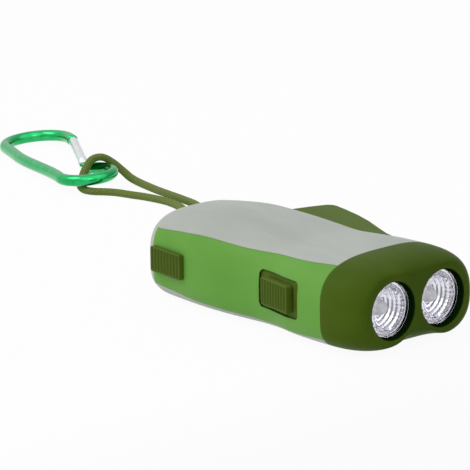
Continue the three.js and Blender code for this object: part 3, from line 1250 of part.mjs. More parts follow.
// A round bar from the hinge to the nose, with a flat tongue between the fork's cheeks.
function gateSolid(nose, hinge, tongueHalf) {
  const span = nose.distanceTo(hinge);
  const start = BAR_RADIUS + GAP * 3;
  const reach = Math.hypot(nose.x - hinge.x, nose.y - BAR_RADIUS - hinge.y) - GAP;
  const swept = rod(0, 0, -GATE_RADIUS - GAP, GATE_RADIUS + GAP, reach, 64);
  const bar = rodAlongY(0, 0, start, span, GATE_RADIUS, 12).intersect(swept);
  const tongue = joined(block(-tongueHalf, tongueHalf, 0, start + GAP, -tongueHalf, tongueHalf),
    rod(0, 0, -tongueHalf, tongueHalf, GATE_RADIUS * 0.9, 14));
  const geometry = geometryOf(cut(joined(bar, tongue), pinHole(0, 0, GATE_PIN_RADIUS, -OVERRUN, OVERRUN)));
  geometry.rotateZ(Math.atan2(nose.y - hinge.y, nose.x - hinge.x) - Math.PI / 2);
  geometry.translate(hinge.x, hinge.y, 0);
  const noseStop = block(nose.x - CARABINER_BIG_RADIUS, nose.x + GAP, nose.y - BAR_RADIUS - OVERRUN,
    nose.y + BAR_RADIUS + OVERRUN, -OVERRUN, OVERRUN);
  return cut(solid(geometry), noseStop);
}

// A round tube through points, its rings turned as little as possible from one to the next.
function tubeThrough(points, radius, sides) {
  const tangent = (i) => points[Math.min(i + 1, points.length - 1)].clone()
    .sub(points[Math.max(i - 1, 0)]).normalize();
  let normal = new THREE.Vector3(0, 0, 1);
  return loft(points.map((point, i) => {
    const forward = tangent(i);
    normal = normal.clone().addScaledVector(forward, -normal.dot(forward)).normalize();
    const side = forward.clone().cross(normal);
    return Array.from({ length: sides }, (_, k) => {
      const turn = (k / sides) * 2 * Math.PI;
      return point.clone().addScaledVector(normal, radius * Math.cos(turn))
        .addScaledVector(side, radius * Math.sin(turn));
    });
  }));
}

// One loop of strap: both its ends meet in front of the pin inside the tail.
function makeStrap() {
  const [x, y] = strapPin;
  const arc = (hand) => [0.06, 0.3, 0.55, 0.8, 1].map((share) => {
    const turn = hand * share * (Math.PI / 2);
    return new THREE.Vector3(x + STRAP_WRAP * Math.cos(turn), y + STRAP_WRAP * Math.sin(turn), AXIS_HEIGHT);
  });
  const slotExit = (hand) => new THREE.Vector3(TAIL_X, hand * STRAP_WRAP, AXIS_HEIGHT);
  const route = (table) => table.map((point) => new THREE.Vector3(...point));
  const control = [...arc(1), slotExit(1), ...route(STRAP_ROUTE_OUT), ...route(STRAP_ROUTE_BACK),
    slotExit(-1), ...arc(-1).reverse()];
  const curve = new THREE.CatmullRomCurve3(control, false, "centripetal");
  const points = Array.from({ length: STRAP_STEPS + 1 }, (_, i) => curve.getPoint(i / STRAP_STEPS));
  addPart("strap", tubeThrough(points, STRAP_RADIUS, STRAP_SIDES), finish("#5f7133", 0.9));
}

makeTopCover();
makeBottomCover();
makeRightPanel();
makeLeftPanel();
makeHeadShell();
makeOptics();
makeLever();
makeGearTrain();
makeGenerator();
makeBridge();
makeElectrics();
makeSwitch();
makeLock();
makeFasteners();
makeCarabiner();
makeStrap();

export default flashlight;
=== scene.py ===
import json
import math

import bmesh
import bpy
import numpy as np
from mathutils import Matrix


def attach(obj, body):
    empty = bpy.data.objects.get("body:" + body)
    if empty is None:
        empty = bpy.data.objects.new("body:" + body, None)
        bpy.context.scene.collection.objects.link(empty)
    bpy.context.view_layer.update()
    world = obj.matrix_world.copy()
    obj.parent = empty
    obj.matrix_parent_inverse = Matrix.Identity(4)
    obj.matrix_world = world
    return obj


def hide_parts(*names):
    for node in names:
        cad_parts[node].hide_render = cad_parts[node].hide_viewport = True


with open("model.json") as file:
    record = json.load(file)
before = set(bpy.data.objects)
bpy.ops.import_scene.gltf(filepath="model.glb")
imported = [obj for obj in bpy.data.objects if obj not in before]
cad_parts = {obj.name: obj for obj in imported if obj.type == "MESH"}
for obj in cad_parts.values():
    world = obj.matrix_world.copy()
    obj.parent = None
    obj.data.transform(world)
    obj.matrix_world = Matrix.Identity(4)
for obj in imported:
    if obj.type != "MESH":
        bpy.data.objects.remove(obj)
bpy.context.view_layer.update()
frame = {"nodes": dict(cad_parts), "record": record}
MM = 0.001
UP = (0, 0, 1.0)
QUARTER = np.pi / 2

# Sizes of the part, in millimetres: X towards the lenses, Y towards the lever, Z up.
NOSE_X = 52.7
TAIL_X = -52.7
JOINT_X = 36.8
PANEL_END_X = -46.7
BODY_LENGTH = 105.4
HEAD_LENGTH = 15.9
FRONT_HALF_WIDTH = 26.8
CROWN = 16.4
AXIS_HEIGHT = 13.3
FLAT_DEPTH = 0.5
WALL = 1.8
SEAM = 0.03
EDGE_ROUND = 0.14
TOP_EXPONENT = 3.0
BOTTOM_EXPONENT = 3.9
MIDDLE = (0, 0, AXIS_HEIGHT)

# The body's form at places along it, each a share of its length from the nose.
STATIONS = [0.15, 0.247, 0.323, 0.398, 0.474, 0.55, 0.645, 0.759, 0.854, 0.92, 0.95, 0.972, 0.988, 1]
WIDTHS = [1, 0.978, 0.937, 0.866, 0.84, 0.851, 0.869, 0.843, 0.784, 0.761, 0.735, 0.685, 0.595, 0.414]
CROWNS = [0.921, 0.915, 0.896, 0.89, 0.933, 0.963, 0.982, 1, 0.951, 0.89, 0.855, 0.79, 0.65, 0.38]
KEELS = [1, 1, 1, 1, 1, 1, 1, 1, 1, 0.97, 0.91, 0.82, 0.68, 0.45]
# The colours part where they do in the photograph, a little above and below the solids' seams.
BAND_STATIONS = [0.13, 0.16, 0.32, 0.51, 0.72, 0.91, 0.95]
BAND_TOPS = [26.4, 26.3, 25.3, 24.6, 24.9, 23.2, 22.9]
BAND_BOTTOMS = [3.9, 3.8, 2.7, 3.0, 3.4, 4.8, 5.2]

# The front, its lenses, and the bowl and lamp behind each
LENS_SIDE = 10.7
LENS_OPENING = 9.0
RIM_RADIUS = 10.9
RIM_ROUND = 0.7
TOP_DIP = 1.0
BOTTOM_NOTCH = 3.4
TUBE_BACK_X = 40.1
TUBE_WALL = 0.9
BOWL_BACK_X = 40.8
BOWL_LENGTH = 8
BOWL_BACK_RADIUS = 3.5
BOWL_SPREAD = 5.25
BOWL_WALL = 0.8
BOWL_RINGS = 8
RING_DEPTH = 0.3
FACETS = 32
FACET_DEPTH = 0.02
LENS_EDGE = [(0, 49.1), (4, 49.1), (8.0, 49.1), (8.6, 49.1), (8.75, 49.25), (8.75, 50.1)]
LENS_FACE_RADIUS = 8.68
LENS_FACE_X = 50.2
LENS_RAISED_RADIUS = 6.6
LENS_RAISED = 0.63
LAMP_RADIUS = 2.5
LAMP_DOME_X = 45.55
LAMP_FOOT = [(0, 39.65), (2.7, 39.65), (2.9, 39.8), (2.9, 40.5), (2.75, 40.65), (2.5, 40.7)]

# The strap: its section, and the points that its middle line passes, out to the clip and back
STRAP_SLOT = (4.4, 1.8)
STRAP_WIDTH = 3.1
STRAP_THICKNESS = 2.6
STRAP_PIN_X = -46.3
STRAP_WRAP = 2.5
STRAP_OUT = [
    [-56, 2.7, 12.2], [-60.5, 5, 8.6], [-66, 10, 4.2], [-73, 17.3, 1.4], [-84, 29.4, 1], [-98, 45, 1],
    [-113, 61.3, 1], [-121, 67, 1], [-131, 69.4, 1], [-140, 70.8, 1], [-146, 71.8, 1], [-152, 73.1, 1],
    [-158, 74.6, 1], [-163, 75.6, 1.4], [-167.6, 75.4, 3.6], [-171, 73, 7], [-173, 70, 8.9],
    [-174.4, 66.8, 8.4]]
STRAP_BACK = [
    [-174.4, 63.6, 5.4], [-173.2, 60.8, 2.4], [-170.6, 58, 1.1], [-167.2, 55.7, 1], [-163.8, 54.6, 1],
    [-160.6, 55.4, 1], [-157.6, 57.7, 1], [-154, 59.7, 1], [-148, 61.2, 1], [-141.5, 62.8, 1],
    [-131, 63.4, 1], [-121.5, 60.6, 1], [-114, 54.2, 1], [-99, 37.6, 1], [-85, 21.6, 1], [-75, 10.6, 1.4],
    [-67, 3.2, 4.4], [-61, -0.8, 8.8], [-56, -2.5, 12.2]]

# The clip lies in a frame of its own: X from the big end to the small one, Z out of its flat.
CLIP_ORIGIN = np.array([-223.5, 84.1, 2.9076])
CLIP_AXES = np.array([[0.902850, -0.428705, 0.032759], [0.425826, 0.902115, 0.069719],
                      [-0.059441, -0.048996, 0.997029]])
CLIP_BAR = 2.0
CLIP_BIG = 11.8
CLIP_SMALL = 9.2
CLIP_SPAN = 58.0
CLIP_SMALL_SIDE = 1.4
CLIP_NOSE = 4.5
CLIP_END_TURN = 165.0
CLIP_STEP = 0.35
GATE_RADIUS = 1.7
GATE_START = 2.9
GATE_SHOULDER = 3.3
GATE_RIBS = (3.6, 10.0)
GATE_RIB_PITCH = 1.28
GATE_RIB_DEPTH = 0.28
GATE_TIP = 1.2
TONGUE_EYE = 1.53
TONGUE_NECK = 1.27
TONGUE_HALF = 0.85

# A slider's pad is its length, height, corner, how far it stands out and how far in it starts. A stem
# is its half length and half height, and where it starts and ends.
SWITCH_ORIGIN = np.array([16.2, -24.5406, 14.1])
SWITCH_AXES = np.array([[0.982397, -0.186807, 0], [0.186807, 0.982397, 0], [0, 0, 1]])
SWITCH_ALONG = -0.6
SWITCH_PAD = (14.8, 8.8, 0.9, 1.7, 0.5)
SWITCH_STEM = (2.2, 1.5, 0.4, 4.4)
LOCK_ORIGIN = np.array([-36.5, -21.1232, 13.8])
LOCK_AXES = np.array([[0.991591, -0.129413, 0], [0.129413, 0.991591, 0], [0, 0, 1]])
LOCK_ALONG = -1.2
LOCK_PAD = (16.2, 8.3, 0.9, 2.0, -0.3)
LOCK_STEM = (2.0, 1.7, -0.5, 2.7)
PAD_EDGE = 0.4
PAD_RIBS = 9
RIB_DEPTH = 0.6
SURROUND_DEPTH = 0.8
SURROUND_WALL = 1.0
SURROUND_ROUND = 0.12

HOUSING_SCREWS = [(30.9, -16.4), (30.9, 10.5), (-44.9, -11), (-44.9, 11)]
SCREW_SEAT_RADIUS = 2.3
SCREW_SEAT_LIFT = 0.12
SCREW_SEAT = [(2.3, 0.12), (2.3, 2.4), (1.15, 2.4), (1.15, 3.4), (2.9, 3.4), (2.9, 0.5), (2.3, 0.12)]
LEVER_CORNER = (-32, 44.8)
LEVER_CORNER_ROUND = 2.6
LEVER_RIMS = (21.5, 6.8)
LEVER_ROUND = 0.5


# Making meshes

def unit(vectors):
    return vectors / np.linalg.norm(vectors, axis=-1, keepdims=True)


def once_round(sides):
    return np.arange(sides) / sides * 2 * np.pi


def circle(turn, radius):
    return radius * np.stack([np.cos(turn), np.sin(turn)], axis=-1)


def bent(wave, exponent):
    """A superellipse's own cosine or sine: the plain one to two over its exponent, with its sign."""
    return np.sign(wave) * np.abs(wave) ** (2 / exponent)


def eased(share):
    """A share held between none and all, with a soft start and a soft end."""
    share = np.clip(share, 0, 1)
    return share * share * (3 - 2 * share)


def joined(points, wrap=False, keep=None):
    """Rows of points with four-cornered faces between neighbouring rows and columns. Wrap joins the
    last column to the first, and keep says which faces stay."""
    here = np.arange(points[..., 0].size).reshape(points.shape[:2])
    after = np.roll(here, -1, axis=1)
    faces = np.stack([here[:-1], after[:-1], after[1:], here[1:]], axis=-1)
    if not wrap:
        faces = faces[:, :-1]
    return points, faces.reshape(-1, 4) if keep is None else faces[keep]


def into_scene(name, data):
    made = bpy.data.objects.new(name, data)
    bpy.context.scene.collection.objects.link(made)
    return made


def meshed(name, points, faces):
    """A mesh of four-cornered faces over points in millimetres."""
    mesh = bpy.data.meshes.new(name)
    mesh.vertices.add(len(points))
    mesh.vertices.foreach_set("co", (points * MM).astype(np.float32).ravel())
    mesh.loops.add(faces.size)
    mesh.loops.foreach_set("vertex_index", faces.astype(np.int32).ravel())
    mesh.polygons.add(len(faces))
    mesh.polygons.foreach_set("loop_start", np.arange(0, faces.size, 4, dtype=np.int32))
    mesh.update(calc_edges=True)
    return mesh


def piece(name, parts, body, slot, stands_for=(), around=None, uv=None, **form):
    """One object from several grids of points in millimetres. Points that meet become one, and every
    face looks away from the middle. The form says what finished does with it."""
    points = np.concatenate([p.reshape(-1, 3) for p, _ in parts])
    starts = np.cumsum([0] + [p.size // 3 for p, _ in parts[:-1]])
    faces = np.concatenate([f + start for (_, f), start in zip(parts, starts)])
    mesh = meshed(name, points, faces)
    if uv is not None:
        layer = mesh.uv_layers.new(name="run")
        layer.data.foreach_set("uv", uv.reshape(-1, 2)[faces.ravel()].astype(np.float32).ravel())
    tidy_mesh(mesh, around)
    return finished(name, mesh, body, slot, stands_for, **form)


def tidy_mesh(mesh, around=None):
    """Merges points that meet, drops loose ones, and turns all faces away from the middle."""
    work = bmesh.new()
    work.from_mesh(mesh)
    bmesh.ops.remove_doubles(work, verts=work.verts, dist=2e-6)
    bmesh.ops.dissolve_degenerate(work, edges=work.edges, dist=1e-7)
    bmesh.ops.delete(work, geom=[v for v in work.verts if not v.link_faces], context="VERTS")
    bmesh.ops.recalc_face_normals(work, faces=work.faces)
    work.to_mesh(mesh)
    work.free()
    read = []
    for what, width in (("normal", 3), ("center", 3), ("area", 1)):
        values = np.zeros(len(mesh.polygons) * width, np.float32)
        mesh.polygons.foreach_get(what, values)
        read.append(values.reshape(-1, width))
    normal, centre, area = read
    middle = centre.mean(0) if around is None else np.array(around) * MM
    if (normal * (centre - middle) * area).sum() < 0:
        mesh.flip_normals()


def finished(name, mesh, body, slot, stands_for=(), finish=None, sharp=None, wall=None, rounding=None):
    """Puts a mesh into the scene with its wall, rounded edges, body and slot, and its own finish or
    else the slot's."""
    mesh.shade_smooth()
    if sharp is not None:
        mesh.set_sharp_from_angle(angle=math.radians(sharp))
    made = into_scene(name, mesh)
    mesh.materials.append(finish or SHARED[slot])
    if wall is not None:
        thick = made.modifiers.new("wall", "SOLIDIFY")
        thick.thickness, thick.offset, thick.use_even_offset = wall * MM, -1.0, True
        thick.thickness_clamp = 1.0
    if rounding is not None:
        round_edges(made, rounding, "ANGLE")
    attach(made, body)
    if stands_for:
        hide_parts(*stands_for)
    return made


def round_edges(made, width, limit):
    edge = made.modifiers.new("rounded_edges", "BEVEL")
    edge.width, edge.segments, edge.limit_method = width * MM, 3, limit
    edge.angle_limit, edge.harden_normals = math.radians(50), True


def capped(rings):
    """A closed skin over rings of points: each end runs in to the middle of its ring."""
    first, last = (ends.mean(1, keepdims=True) + 0 * ends for ends in (rings[:1], rings[-1:]))
    return joined(np.concatenate([first, rings, last]), wrap=True)


def turned(profile, centre, sides=48, facets=None, lying=False):
    """A turned form: each radius goes round the centre at its place along the axis, which is X for a
    lying form and Z for a standing one. Facets are their number and a depth for each row, and pull
    the radius in by the cosine of that many turns."""
    profile = np.asarray(profile, float)
    turn = once_round(sides)
    radius = profile[:, :1] * np.ones(sides)
    if facets is not None:
        radius = radius * (1 - facets[1][:, None] * (1 - np.cos(facets[0] * turn)) / 2)
    ring = [centre[0] + radius * np.cos(turn), centre[1] + radius * np.sin(turn)]
    along = [profile[:, 1:] * np.ones(sides)]
    return joined(np.stack(along + ring if lying else ring + along, axis=-1), wrap=True)


def tube(centres, ups, half_wide, half_high, exponent, sides):
    """A rounded section carried along a path: across and up follow a superellipse of that exponent."""
    forward = unit(np.gradient(centres, axis=0))
    across = unit(np.cross(forward, ups))
    rise = np.cross(across, forward)
    wide, high = bent(circle(once_round(sides), 1), exponent).T
    half = np.broadcast_to(half_wide, len(centres)), np.broadcast_to(half_high, len(centres))
    return (centres[:, None] + half[0][:, None, None] * wide[:, None] * across[:, None]
            + half[1][:, None, None] * high[:, None] * rise[:, None])


def touched(cells):
    """The corners of a grid that belong to at least one of these cells."""
    wide = np.pad(cells, 1)
    return wide[1:, 1:] | wide[:-1, 1:] | wide[1:, :-1] | wide[:-1, :-1]


def cut_hole(first, second, keep, gap):
    """Opens a hole in a grid of two coordinates. Cells whose middle is inside go, and the corners that
    are left on their edge slide down the slope of the gap onto the hole's line."""
    d = gap(first, second)
    gone = (d[:-1, :-1] + d[1:, :-1] + d[:-1, 1:] + d[1:, 1:]) / 4 < 0
    keep &= ~gone
    edge = touched(gone) & touched(keep)
    step = 0.01
    a = (gap(first + step, second) - gap(first - step, second)) / (2 * step)
    b = (gap(first, second + step) - gap(first, second - step)) / (2 * step)
    size = np.maximum(a * a + b * b, 0.2)
    return np.where(edge, first - d * a / size, first), np.where(edge, second - d * b / size, second)


# The body's form

def along_body(x, values, stations=STATIONS):
    """A value at places along the body: a cubic between stations, with the chord slope of the two
    neighbours at each."""
    stations, values = np.array(stations, float), np.array(values, float)
    before = np.maximum(np.arange(len(stations)) - 1, 0)
    after = np.minimum(np.arange(len(stations)) + 1, len(stations) - 1)
    slopes = (values[after] - values[before]) / (stations[after] - stations[before])
    at = np.clip((NOSE_X - x) / BODY_LENGTH, stations[0], stations[-1])
    i = np.clip(np.searchsorted(stations, at, side="right") - 1, 0, len(stations) - 2)
    span = stations[i + 1] - stations[i]
    t = (at - stations[i]) / span
    return ((2 * t**3 - 3 * t**2 + 1) * values[i] + (t**3 - 2 * t**2 + t) * span * slopes[i]
            + (3 * t**2 - 2 * t**3) * values[i + 1] + (t**3 - t**2) * span * slopes[i + 1])


def half_width(x):
    return FRONT_HALF_WIDTH * along_body(x, WIDTHS)


def crown(x):
    return CROWN * along_body(x, CROWNS)


def keel(x):
    return AXIS_HEIGHT * along_body(x, KEELS)


def side_at(x, z):
    """Where the body's outline crosses a height: a superellipse above the axis and another below."""
    rise = np.asarray(z, float) - AXIS_HEIGHT
    exponent = np.where(rise > 0, TOP_EXPONENT, BOTTOM_EXPONENT)
    reach = np.where(rise > 0, crown(x), keel(x) + FLAT_DEPTH)
    return half_width(x) * (1 - np.minimum(1, np.abs(rise) / reach) ** exponent) ** (1 / exponent)


def body_point(x, turn):
    """A point on the body at a turn about its axis: the radius of the superellipse in that direction,
    cut off below by the flat that the body rests on."""
    c, s = np.abs(np.cos(turn)), np.maximum(np.abs(np.sin(turn)), 1e-9)
    wide = half_width(x)
    above = ((c / wide) ** TOP_EXPONENT + (s / crown(x)) ** TOP_EXPONENT) ** (-1 / TOP_EXPONENT)
    below = ((c / wide) ** BOTTOM_EXPONENT
             + (s / (keel(x) + FLAT_DEPTH)) ** BOTTOM_EXPONENT) ** (-1 / BOTTOM_EXPONENT)
    radius = np.where(np.sin(turn) > 0, above, np.minimum(below, keel(x) / s))
    return np.stack([x + 0 * turn, radius * np.cos(turn), AXIS_HEIGHT + radius * np.sin(turn)], axis=-1)


def underside(x, y):
    """The height of the body's lower side over a place on the table: the lower superellipse, and the
    flat where that is higher."""
    share = np.minimum(1, np.abs(y) / half_width(x))
    depth = (keel(x) + FLAT_DEPTH) * (1 - share**BOTTOM_EXPONENT) ** (1 / BOTTOM_EXPONENT)
    return AXIS_HEIGHT - np.minimum(keel(x), depth)


def cover_grid(up):
    """Half of the housing, upper or lower. Each row is a place along the body, evenly to the side
    panels' end and closer over the tail's curve. Its columns turn about the axis from the middle line
    up or down one side, over, and back: the outer ones are kept only behind the side panels."""
    front = np.linspace(JOINT_X - SEAM, PANEL_END_X - SEAM, 112)
    tail = TAIL_X + (PANEL_END_X - SEAM - TAIL_X) * np.linspace(1, 0, 27)[1:] ** 1.4
    rows = np.concatenate([front, tail])
    sign = 1 if up else -1
    seam = along_body(rows, BAND_TOPS if up else BAND_BOTTOMS, BAND_STATIONS) + sign * SEAM
    part = AXIS_HEIGHT + sign * SEAM
    low = np.arctan2(sign * (part - AXIS_HEIGHT), side_at(rows, part + 0 * rows))
    high = np.arctan2(sign * (seam - AXIS_HEIGHT), side_at(rows, seam))
    outer, main = 22, 110
    first = low[:, None] + (high - low)[:, None] * np.linspace(0, 1, outer + 1)
    over = high[:, None] + (np.pi - 2 * high)[:, None] * np.linspace(0, 1, main + 1)[1:]
    last = np.pi - first[:, ::-1][:, 1:]
    turn = sign * np.concatenate([first, over, last], axis=1)
    keep = np.ones((len(rows) - 1, turn.shape[1] - 1), bool)
    keep[:len(front) - 1, :outer] = False
    keep[:len(front) - 1, outer + main:] = False
    return body_point(rows[:, None], turn), keep


def tail_cap(last, up):
    """The end wall: from the last ring straight in to the strap's slot, a superellipse."""
    sign = 1 if up else -1
    rim = np.linspace(sign * 0.09, sign * (np.pi - 0.09), last.shape[0])
    y, rise = bent(circle(rim, 1), 7).T
    slot_line = np.stack([np.full_like(y, TAIL_X), STRAP_SLOT[0] * y,
                          AXIS_HEIGHT + STRAP_SLOT[1] * rise], axis=-1)
    slot_line[[0, -1], 2] = last[[0, -1], 2]
    return joined(last + (slot_line - last) * np.linspace(0, 1, 12)[:, None, None])


def panel_grid(side, holes):
    """A side panel: places along and up the body's side, between the two seams, with its openings."""
    x, share = np.meshgrid(np.linspace(JOINT_X - SEAM, PANEL_END_X + SEAM, 150), np.linspace(0, 1, 60),
                           indexing="ij")
    low = along_body(x, BAND_BOTTOMS, BAND_STATIONS) + SEAM
    high = along_body(x, BAND_TOPS, BAND_STATIONS) - SEAM
    return holed_side(x, low + (high - low) * share, holes, side)


def holed_side(x, z, holes, side, inwards=0):
    """The body's own side at these places and heights, set in by a depth, less its openings."""
    keep = np.ones((x.shape[0] - 1, x.shape[1] - 1), bool)
    for hole in holes:
        x, z = cut_hole(x, z, keep, hole)
    return joined(np.stack([x, side * (side_at(x, z) - inwards), z], axis=-1), keep=keep)


def front_height(y, top):
    """The front outline: a circle round each lens, with a cosine dip or notch between them."""
    beyond = np.abs(y) - LENS_SIDE
    dip = TOP_DIP if top else BOTTOM_NOTCH
    round_part = np.sqrt(np.maximum(RIM_RADIUS**2 - beyond**2, 0))
    return np.where(beyond > 0, round_part, RIM_RADIUS - dip / 2 * (1 + np.cos(np.pi * y / LENS_SIDE)))


def joint_outline(turn):
    """The body's section at the joint, by the parameter of its superellipse."""
    up = np.sin(turn) > 0
    c, s = bent(circle(turn, 1), np.where(up, TOP_EXPONENT, BOTTOM_EXPONENT)[:, None]).T
    y, rise, low = half_width(JOINT_X) * c, np.abs(s), keel(JOINT_X)
    z = np.where(up, crown(JOINT_X) * rise, -np.minimum(low, (low + FLAT_DEPTH) * rise))
    return np.stack([y, AXIS_HEIGHT + z], axis=-1)


def skin_of(along, rows):
    """Rows of points across the body, each at its place along X, joined all round."""
    along = along[:, None, None] + 0 * rows[..., :1]
    return joined(np.concatenate([along, rows], axis=-1), wrap=True)


def make_front():
    """The olive front: a skin that rolls from the body's section to the front outline as a power curve
    of the distance from the joint, then a face round each lens, its rounded rim and its bore."""
    columns = 288
    turn = once_round(columns)
    start = JOINT_X + SEAM
    x = start + np.sin(np.linspace(0, QUARTER, 34)) * (NOSE_X - start)
    share = np.clip((x - JOINT_X) / HEAD_LENGTH, 0, 1)
    kept = ((1 - share**2.4) ** (1 / 1.9))[:, None, None]
    y = (LENS_SIDE + RIM_RADIUS) * np.cos(turn)
    rise = np.where(np.sin(turn) >= 0, front_height(y, True), -front_height(y, False))
    outline = np.stack([y, AXIS_HEIGHT + rise], axis=-1)
    parts = [skin_of(x, outline + (joint_outline(turn) - outline) * kept)]
    half = columns // 4
    edge = np.concatenate([outline[-half:], outline[:half + 1]])
    rim = np.concatenate([edge, np.linspace(edge[-1], edge[0], 26)[1:-1]])
    bend = np.linspace(0, QUARTER, 8)
    radii = np.concatenate([LENS_OPENING + RIM_ROUND * (1 - np.sin(bend)), [LENS_OPENING] * 9])
    places = np.concatenate([NOSE_X - RIM_ROUND * (1 - np.cos(bend)),
                             np.linspace(NOSE_X - RIM_ROUND, TUBE_BACK_X, 10)[1:]])
    for side in (1, -1):
        line = rim * [side, 1]
        centre = np.array([side * LENS_SIDE, AXIS_HEIGHT])
        away = unit(line - centre)
        face = line + (centre + away * radii[0] - line) * np.linspace(0, 1, 7)[:-1, None, None]
        rows = np.concatenate([face, centre + away * radii[:, None, None]])
        parts.append(skin_of(np.concatenate([np.full(6, NOSE_X), places]), rows))
    # the front takes the darker olive copy with painted shade
    piece("olive_front", parts, "root", "olive_shell", ["head_shell"], (30, 0, AXIS_HEIGHT),
          finish=FRONT_PAINTED_SHADE_FINISH, wall=TUBE_WALL)


def placed(parts, origin, axes):
    """Parts of a local frame carried into the part's own frame."""
    return [(origin + points @ axes, faces) for points, faces in parts]


def pad_parts(length, weave_height_and_shade, corner, proud, inner):
    """A slider's pad. Lines along it sit on the ribs' crests and valleys. The outer face is its height
    less a V for each groove, and it falls away in a quarter circle along its border, goes down the
    sides and closes underneath. The square grid's corners are drawn in to the rounded outline."""
    fall = PAD_EDGE * (1 - np.cos(np.linspace(0, QUARTER, 6)))
    span = length - 1.1
    pitch = span / PAD_RIBS
    marks = [-length / 2 + f for f in fall]
    for i in range(PAD_RIBS):
        centre = -span / 2 + (i + 0.5) * pitch
        marks += [centre + o * pitch for o in (-0.42, -0.36, -0.28, -0.14, 0, 0.14, 0.28, 0.36, 0.42)]
    xs = np.array(sorted(marks + [length / 2 - f for f in fall]))
    zs = np.concatenate([-weave_height_and_shade / 2 + fall, np.linspace(-weave_height_and_shade / 2 + 0.5, weave_height_and_shade / 2 - 0.5, 33),
                         (weave_height_and_shade / 2 - fall)[::-1]])
    x, z = np.meshgrid(xs, zs, indexing="ij")
    place = (x + span / 2) / pitch
    inside = (place > 0) & (place < PAD_RIBS)
    groove = np.clip(1 - np.where(inside, np.abs(place - np.floor(place) - 0.5), 0.5) / 0.36, 0, 1)
    ends = np.clip((weave_height_and_shade / 2 - 0.4 - np.abs(z)) / 0.35, 0, 1)
    border = np.maximum(PAD_EDGE - np.minimum(length / 2 - np.abs(x), weave_height_and_shade / 2 - np.abs(z)), 0)
    round_off = PAD_EDGE - np.sqrt(np.maximum(PAD_EDGE**2 - border**2, 0))
    y = -(proud - RIB_DEPTH * groove * ends - round_off)
    x, z = drawn_in(x, z, length, weave_height_and_shade, corner)
    top = np.stack([x, y, z], axis=-1)
    ring = np.concatenate([top[:, 0], top[-1, 1:], top[-2::-1, -1], top[0, -2:0:-1]])
    wall = ring + (np.array([0, 1, 0]) * (inner - ring[:, 1:2])) * np.linspace(0, 1, 5)[:, None, None]
    under = top.copy()
    under[..., 1] = inner
    return [joined(top), joined(wall, wrap=True), joined(under)]


def drawn_in(x, z, length, weave_height_and_shade, corner):
    """Draws each corner square of a rectangle in to a quarter disc, the square's sides to its arc."""
    p = np.clip((np.abs(x) - (length / 2 - corner)) / corner, 0, 1)
    q = np.clip((np.abs(z) - (weave_height_and_shade / 2 - corner)) / corner, 0, 1)
    both = (p > 0) & (q > 0)
    new_x = np.sign(x) * (length / 2 - corner + corner * p * np.sqrt(1 - q * q / 2))
    new_z = np.sign(z) * (weave_height_and_shade / 2 - corner + corner * q * np.sqrt(1 - p * p / 2))
    return np.where(both, new_x, x), np.where(both, new_z, z)


def stem_part(half_long, half_high, inner, outer):
    """A slider's stem: a rounded section carried inwards."""
    centres = np.linspace((0, inner, 0), (0, outer, 0), 6)
    return capped(tube(centres, UP, half_long, half_high, 10, 32))


# The strap's and the clip's paths

def curve_through(control, steps):
    """A centripetal Catmull-Rom curve through points, the same as the solid strap's."""
    p = np.concatenate([[2 * control[0] - control[1]], control, [2 * control[-1] - control[-2]]])
    a, b, c, d = p[:-3], p[1:-2], p[2:-1], p[3:]
    t0, t1, t2 = (np.sqrt(np.linalg.norm(v, axis=1, keepdims=True)) for v in (b - a, c - b, d - c))
    m1 = ((b - a) / t0 - (c - a) / (t0 + t1) + (c - b) / t1) * t1
    m2 = ((c - b) / t1 - (d - b) / (t1 + t2) + (d - c) / t2) * t1
    t = np.linspace(0, 1, steps, endpoint=False)[None, :, None]
    b, c, m1, m2 = (v[:, None] for v in (b, c, m1, m2))
    run = (b + m1 * t + (-3 * b + 3 * c - 2 * m1 - m2) * t**2 + (2 * b - 2 * c + m1 + m2) * t**3)
    return np.concatenate([run.reshape(-1, 3), control[-1:]])


def evenly(path, step):
    """The same path with points one step apart, and how far along it each is."""
    along = np.concatenate([[0], np.cumsum(np.linalg.norm(np.diff(path, axis=0), axis=1))])
    at = np.linspace(0, along[-1], int(round(along[-1] / step)) + 1)
    return np.stack([np.interp(at, along, path[:, k]) for k in range(3)], axis=1), at


def strap_path():
    """The strap's middle line: a quarter turn round the pin in the tail, out, back, and the other
    quarter."""
    turns = np.array([0.06, 0.3, 0.55, 0.8, 1]) * np.pi / 2
    round_pin = np.pad(circle(turns, STRAP_WRAP), ((0, 0), (0, 1))) + [STRAP_PIN_X, 0, AXIS_HEIGHT]
    exits = np.array([[TAIL_X, STRAP_WRAP, AXIS_HEIGHT], [TAIL_X, -STRAP_WRAP, AXIS_HEIGHT]])
    control = [round_pin, exits[:1], STRAP_OUT, STRAP_BACK, exits[1:], round_pin[::-1] * [1, -1, 1]]
    return evenly(curve_through(np.concatenate(control), 24), 0.3)


def make_strap():
    """A woven flat cord. Its section is a soft oval, its faces follow crossing threads in low relief,
    and it stands on edge only where it passes round the pin inside the tail."""
    path, run = strap_path()
    sides, strands, pitch, relief, girth = 30, 5, 1.5, 0.09, 8.1
    lean = eased((path[:, 0] + 66) / 11) * np.pi / 2
    forward = unit(np.gradient(path, axis=0))
    across = unit(np.cross(forward, UP))
    ups = np.cross(across, forward) * np.cos(lean)[:, None] + across * np.sin(lean)[:, None]
    path = path + np.array([0, 0, 0.36]) * eased((2.4 - path[:, 2]) / 1.4)[:, None]
    skin = tube(path, ups, STRAP_WIDTH / 2 - 0.06, STRAP_THICKNESS / 2 - 0.06 - lean / 4, 2.2, sides)
    around = once_round(sides)
    slant = run[:, None] * np.pi / pitch
    threads = np.maximum(np.abs(np.sin(around * strands + slant)), np.abs(np.sin(around * strands - slant)))
    skin += unit(skin - path[:, None]) * (threads[..., None] - 0.7) * relief
    along = np.concatenate([run[:1], run, run[-1:]])
    uv = np.stack(np.broadcast_arrays(around[None] / (2 * np.pi) * girth, along[:, None]), axis=-1)
    strap = piece("cord_loop", [capped(skin)], "root", "strap", ["strap"], uv=uv)


